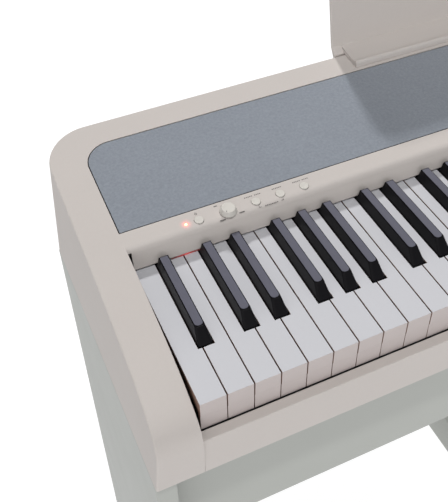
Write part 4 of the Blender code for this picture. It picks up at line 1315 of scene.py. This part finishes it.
def pedals():
    """Brass pedals with a broad round toe, a waist and a hub on the rod."""
    axle = middle_of("pedal_axle")
    height, back = axle.z, axle.y
    half, tip = 10 * MM, 14.5 * MM
    for node in PEDALS:
        low, high = here(node)
        x = (low.x + high.x) / 2
        toe = [(x + px, low.y + py) for px, py in arc((0, tip), tip, 180, 360, 28)]
        right = bezier([(x + tip, low.y + 30 * MM), (x + tip, low.y + 40 * MM), (x + half, low.y + 44 * MM),
                        (x + half, low.y + 58 * MM)], 12)
        left = [(2 * x - px, py) for px, py in reversed(right)]
        outline = toe + right + [(x + half, back), (x - half, back)] + left
        bm = prism(outline, "Z", height - 6 * MM, height - MM)
        soften(bm, 1.8 * MM, 5, lambda e: min(v.co.z for v in e.verts) > height - 1.2 * MM)
        soften(bm, 0.6 * MM, 2, lambda e: max(v.co.z for v in e.verts) < height - 5.9 * MM)
        hub = [(0, -11 * MM), (7.4 * MM, -11 * MM), (8 * MM, -10.4 * MM), (8 * MM, 10.4 * MM),
               (7.4 * MM, 11 * MM), (0, 11 * MM)]
        place = (x, back, height)
        hole = lathe(rod(BORE, -20 * MM, 20 * MM), place, 24, along="X")
        bm = carve(bm, [hole], [lathe(hub, place, 40, along="X")])
        piece(node + "_lever", bm, body_of(node), pedal_brass(), node)


class PIANO_OT_pedals(bpy.types.Operator):
    """Build the pedal case, its rod and the three brass pedals"""
    bl_idname = "piano.pedals"
    bl_label = "Pedals"

    def execute(self, context):
        pedal_housing()
        pedals()
        return {"FINISHED"}


# ---------------------------------------------------------------- sockets and screws

def sockets():
    """Power inlet, headphone jack and pedal socket in a recessed plate at the back."""
    low, high = here("socket_plate")
    middle = (low.z + high.z) / 2
    bm = soften(block(low, high), 0.5 * MM, 2, lambda e: min(v.co.y for v in e.verts) > high.y - 0.1 * MM)
    cutters = []
    depth = 17 * MM
    for node, name, pin in (("power_inlet", "power_socket", MM), ("headphone_socket", "headphone_jack", 0)):
        start, end = here(node)
        centre = (start + end) / 2
        outer = (end.x - start.x) / 2
        bore = 3.2 * MM
        profile = [(0, 0), (outer, 0), (outer, depth - 0.5 * MM), (outer - 0.5 * MM, depth),
                   (bore + 0.6 * MM, depth), (bore, depth - 0.6 * MM), (bore, 4 * MM)]
        profile += ([(pin, 4 * MM), (pin, depth - 3.6 * MM), (pin * 0.6, depth - 3 * MM), (0, depth - 3 * MM)]
                    if pin else [(0, 4 * MM)])
        place = (centre.x, start.y, middle)
        piece(name, lathe(profile, place, 40, along="Y"), CABINET, zinc_steel(), node)
        cutters.append(lathe(rod(outer + 0.3 * MM, -MM, depth + 4 * MM), place, 40, along="Y"))
    start, end = here("pedal_socket")
    room = 0.3 * MM
    cutters.append(block((start.x - room, low.y - 5 * MM, start.z - room), (end.x + room, high.y + 5 * MM,
                                                                          end.z + room)))
    piece("socket_panel", carve(bm, cutters), CABINET, dark_plastic(), "socket_plate")
    shell = soften(block(start, end), 0.6 * MM, 3, lambda e: min(v.co.y for v in e.verts) > end.y - 0.1 * MM)
    wall = 3.5 * MM
    bay = block((start.x + wall, start.y + 4 * MM, start.z + 3 * MM),
                (end.x - wall, end.y + 5 * MM, end.z - 3 * MM))
    key = block((-3 * MM, start.y + 4 * MM, end.z - 4 * MM), (3 * MM, end.y + 5 * MM, end.z - 1.6 * MM))
    bmesh.ops.translate(key, verts=key.verts, vec=((start.x + end.x) / 2, 0, 0))
    shell = carve(shell, [bay, key])
    contacts = []
    for i in range(6):
        x = (start.x + end.x) / 2 + (i - 2.5) * 2.1 * MM
        contacts.append((block((x - 0.3 * MM, start.y + 4 * MM, middle - 3.7 * MM),
                               (x + 0.3 * MM, end.y - 2 * MM, middle - 3.2 * MM)), 1))
    piece("pedal_jack", together([shell] + contacts), CABINET, [dark_plastic(), pedal_brass()],
          "pedal_socket")


def screw_head(radius):
    """Pan head with a cross recess, standing on height 0."""
    tall = radius * 0.55
    profile = [(0, -0.4 * MM), (radius, -0.4 * MM), (radius, 0.1 * MM)]
    profile += [(radius * math.cos(a), 0.1 * MM + tall * math.sin(a)) for a in (0.4, 0.8, 1.15)]
    profile += [(0, 0.1 * MM + tall)]
    slot = radius * 0.13
    arm = radius * 0.62
    arms = [block((-arm, -slot, 0.35 * tall), (arm, slot, 3 * tall)),
            block((-slot, -arm, 0.35 * tall), (slot, arm, 3 * tall))]
    return carve(lathe(profile, (0, 0, 0), 20), arms)


def case_screws():
    """Rows of screws along the back edge of the case and across its underside."""
    pattern = screw_head(3.2 * MM)
    heads = []
    under, top = here("bottom_case")
    columns = [top.x - 34 * MM - i * (top.x - under.x - 68 * MM) / 6 for i in range(7)]
    for x in columns:
        for y in (18 * MM, 190 * MM, top.y - 22 * MM):
            if abs(x - columns[0]) < MM or abs(x - columns[-1]) < MM:
                if y < 100 * MM or y > top.y - 30 * MM:
                    continue
            heads.append((x, y, under.z, Matrix.Rotation(math.pi, 4, "X")))
    for i in range(6):
        x = MID_X + (i - 2.5) * 210 * MM
        heads.append((x, CASE_REAR, CASE_BOTTOM + 14 * MM, Matrix.Rotation(-math.pi / 2, 4, "X")))
    meshes = []
    for x, y, z, turn in heads:
        head = pattern.copy()
        head.transform(Matrix.Translation((x, y, z)) @ turn)
        meshes.append(head)
    pattern.free()
    piece("case_screws", together(meshes), CABINET, blackened_screw())


class PIANO_OT_fittings(bpy.types.Operator):
    """Build the sockets at the back and the screws that hold the case together"""
    bl_idname = "piano.fittings"
    bl_label = "Sockets and screws"

    def execute(self, context):
        sockets()
        case_screws()
        return {"FINISHED"}


class PIANO_OT_inner_parts(bpy.types.Operator):
    """Finish the parts inside the case that keep their frame shapes"""
    bl_idname = "piano.inner_parts"
    bl_label = "Inner parts"

    def execute(self, context):
        finishes = {"key_frame": dark_plastic, "contact_board": circuit_board, "panel_board": circuit_board,
                    "main_board": circuit_board, "left_speaker": speaker_paper,
                    "right_speaker": speaker_paper}
        for node, finish in finishes.items():
            for slot in frame["nodes"][node].material_slots:
                slot.material = finish()
        return {"FINISHED"}


# ---------------------------------------------------------------- studio

def floor_finish():
    made = Finish("studio_floor", (0.2, 0.2, 0.2), 0.9, Emission_Color=(1, 1, 1, 1), Emission_Strength=0.95,
                  Specular_IOR_Level=0.0)
    made.shade(made.noise(400 * MM, 2), 0.02)
    return made.mat


def backdrop_finish():
    made = Finish("studio_backdrop", (0, 0, 0), 0.9, Emission_Color=(1, 1, 1, 1), Emission_Strength=0.93,
                  Specular_IOR_Level=0.0)
    made.shade(made.noise(2000 * MM, 2), 0.01)
    return made.mat


def stage_piece(name, bm, material):
    """Floor or backdrop. Only the camera sees it; its light on the piano comes from the surroundings."""
    mesh = bpy.data.meshes.new(name)
    bm.to_mesh(mesh)
    bm.free()
    mesh.materials.append(material)
    obj = link(name, mesh)
    obj.visible_diffuse = False
    obj.visible_glossy = False
    obj.visible_shadow = False


STAGE_RADIUS = 12


def studio_floor():
    bm = bmesh.new()
    bmesh.ops.create_grid(bm, x_segments=1, y_segments=1, size=STAGE_RADIUS)
    stage_piece("floor", bm, floor_finish())
    dome = bmesh.new()
    bmesh.ops.create_uvsphere(dome, u_segments=48, v_segments=24, radius=STAGE_RADIUS)
    stage_piece("backdrop", dome, backdrop_finish())


def surroundings(settings):
    """Room light: an even bounce from below, a dim ceiling, and a broad low glow from the front left."""
    world = bpy.data.worlds.new("studio")
    bpy.context.scene.world = world
    world.use_nodes = True
    tree = world.node_tree
    backdrop = tree.nodes["Background"]
    backdrop.inputs["Color"].default_value = (0.985, 0.99, 1.0, 1)

    def node(kind, inputs, **options):
        return shader_node(tree, kind, inputs, options)

    direction = tree.nodes.new("ShaderNodeTexCoord").outputs["Generated"]
    height = node("SeparateXYZ", {"Vector": direction}).outputs["Z"]
    toward = node("VectorMath", {0: direction, 1: (-0.6, -0.8, 0)}, operation="DOT_PRODUCT").outputs["Value"]
    glow = node("MapRange", {"Value": toward, "To Max": settings.window}).outputs["Result"]
    fade = node("MapRange", {"Value": height, "From Max": 0.8, "To Min": 1, "To Max": 0}).outputs["Result"]
    lit = node("Math", {0: glow, 1: fade}, operation="MULTIPLY").outputs[0]
    above = node("Math", {0: lit, 1: settings.sky}, operation="ADD").outputs[0]
    below = node("MapRange", {"Value": height, "From Min": -0.02, "From Max": 0.02, "To Min": 1,
                              "To Max": 0}).outputs["Result"]
    blend = node("Mix", {"Factor": below, "A": above, "B": settings.bounce}, data_type="FLOAT")
    tree.links.new(blend.outputs["Result"], backdrop.inputs["Strength"])


LIGHT_AIM = Vector((-0.35, 0.0, 0.75))
LIGHT_DISTANCE = 5
REAR_LIGHT_ANGLES = (math.radians(45.7), math.radians(8))
TOP_LIGHT_ANGLES = (math.radians(73), math.radians(180))


def area_light(name, power, size, height, side):
    """Square soft light; height and side are angles from the floor and from straight behind the piano."""
    data = bpy.data.lights.new(name, "AREA")
    data.shape = "SQUARE"
    data.size = size
    data.energy = power
    lamp_object = link(name, data)
    away = Vector((math.sin(side) * math.cos(height), math.cos(side) * math.cos(height), math.sin(height)))
    lamp_object.location = LIGHT_AIM + away * LIGHT_DISTANCE
    lamp_object.rotation_euler = away.to_track_quat("Z", "Y").to_euler()
    lamp_object.visible_camera = False
    return lamp_object


def studio_light(settings):
    surroundings(settings)
    rear = area_light("rear_light", settings.rear_power, settings.rear_size, *REAR_LIGHT_ANGLES)
    rear.visible_glossy = False     # keeps its mirror image out of the sloping top and the keys
    area_light("top_light", settings.top_power, settings.top_size, *TOP_LIGHT_ANGLES)


CAMERA_PLACE = (-0.7213, -0.49515, 1.2654)
CAMERA_TURN = (47.86, 1.01, -24.09)     # degrees
CAMERA_LENS = 57.06
CAMERA_SHIFT = -0.1394


def camera():
    data = bpy.data.cameras.new("camera")
    data.sensor_width = 36
    data.lens = CAMERA_LENS
    data.shift_y = CAMERA_SHIFT
    data.clip_end = 50
    view = link("camera", data)
    view.location = CAMERA_PLACE
    view.rotation_euler = [math.radians(angle) for angle in CAMERA_TURN]
    bpy.context.scene.camera = view


class PIANO_OT_studio(bpy.types.Operator):
    """Set up the pale floor, the soft light and the camera"""
    bl_idname = "piano.studio"
    bl_label = "Studio"

    def execute(self, context):
        studio_floor()
        studio_light(context.scene.piano_studio)
        camera()
        context.scene.view_settings.view_transform = "Standard"
        return {"FINISHED"}


# ---------------------------------------------------------------- add-on

SETTINGS = {"piano_case": PianoCaseSettings, "piano_keys": PianoKeySettings,
            "piano_stand": PianoStandSettings, "piano_studio": PianoStudioSettings}
BUILDERS = (PIANO_OT_case, PIANO_OT_grille, PIANO_OT_music_rest, PIANO_OT_controls, PIANO_OT_keys,
            PIANO_OT_stand, PIANO_OT_pedals, PIANO_OT_fittings, PIANO_OT_inner_parts, PIANO_OT_studio)


class PIANO_PT_sidebar(bpy.types.Panel):
    """Lists the piano's builders and their settings"""
    bl_idname = "PIANO_PT_sidebar"
    bl_label = "Digital piano"
    bl_space_type = "VIEW_3D"
    bl_region_type = "UI"
    bl_category = "Piano"

    def draw(self, context):
        for name, group in SETTINGS.items():
            box = self.layout.box()
            for key in group.__annotations__:
                box.prop(getattr(context.scene, name), key)
        for builder in BUILDERS:
            self.layout.operator(builder.bl_idname)


CLASSES = (*SETTINGS.values(), *BUILDERS, PIANO_PT_sidebar)


def register():
    for cls in CLASSES:
        bpy.utils.register_class(cls)
    for name, group in SETTINGS.items():
        setattr(bpy.types.Scene, name, PointerProperty(type=group))


def unregister():
    for name in SETTINGS:
        delattr(bpy.types.Scene, name)
    for cls in reversed(CLASSES):
        bpy.utils.unregister_class(cls)


def main():
    register()
    bpy.ops.piano.studio()
    bpy.ops.piano.case()
    bpy.ops.piano.grille()
    bpy.ops.piano.music_rest()
    bpy.ops.piano.controls()
    bpy.ops.piano.keys()
    bpy.ops.piano.stand()
    bpy.ops.piano.pedals()
    bpy.ops.piano.fittings()
    bpy.ops.piano.inner_parts()


if __name__ == "__main__":
    main()
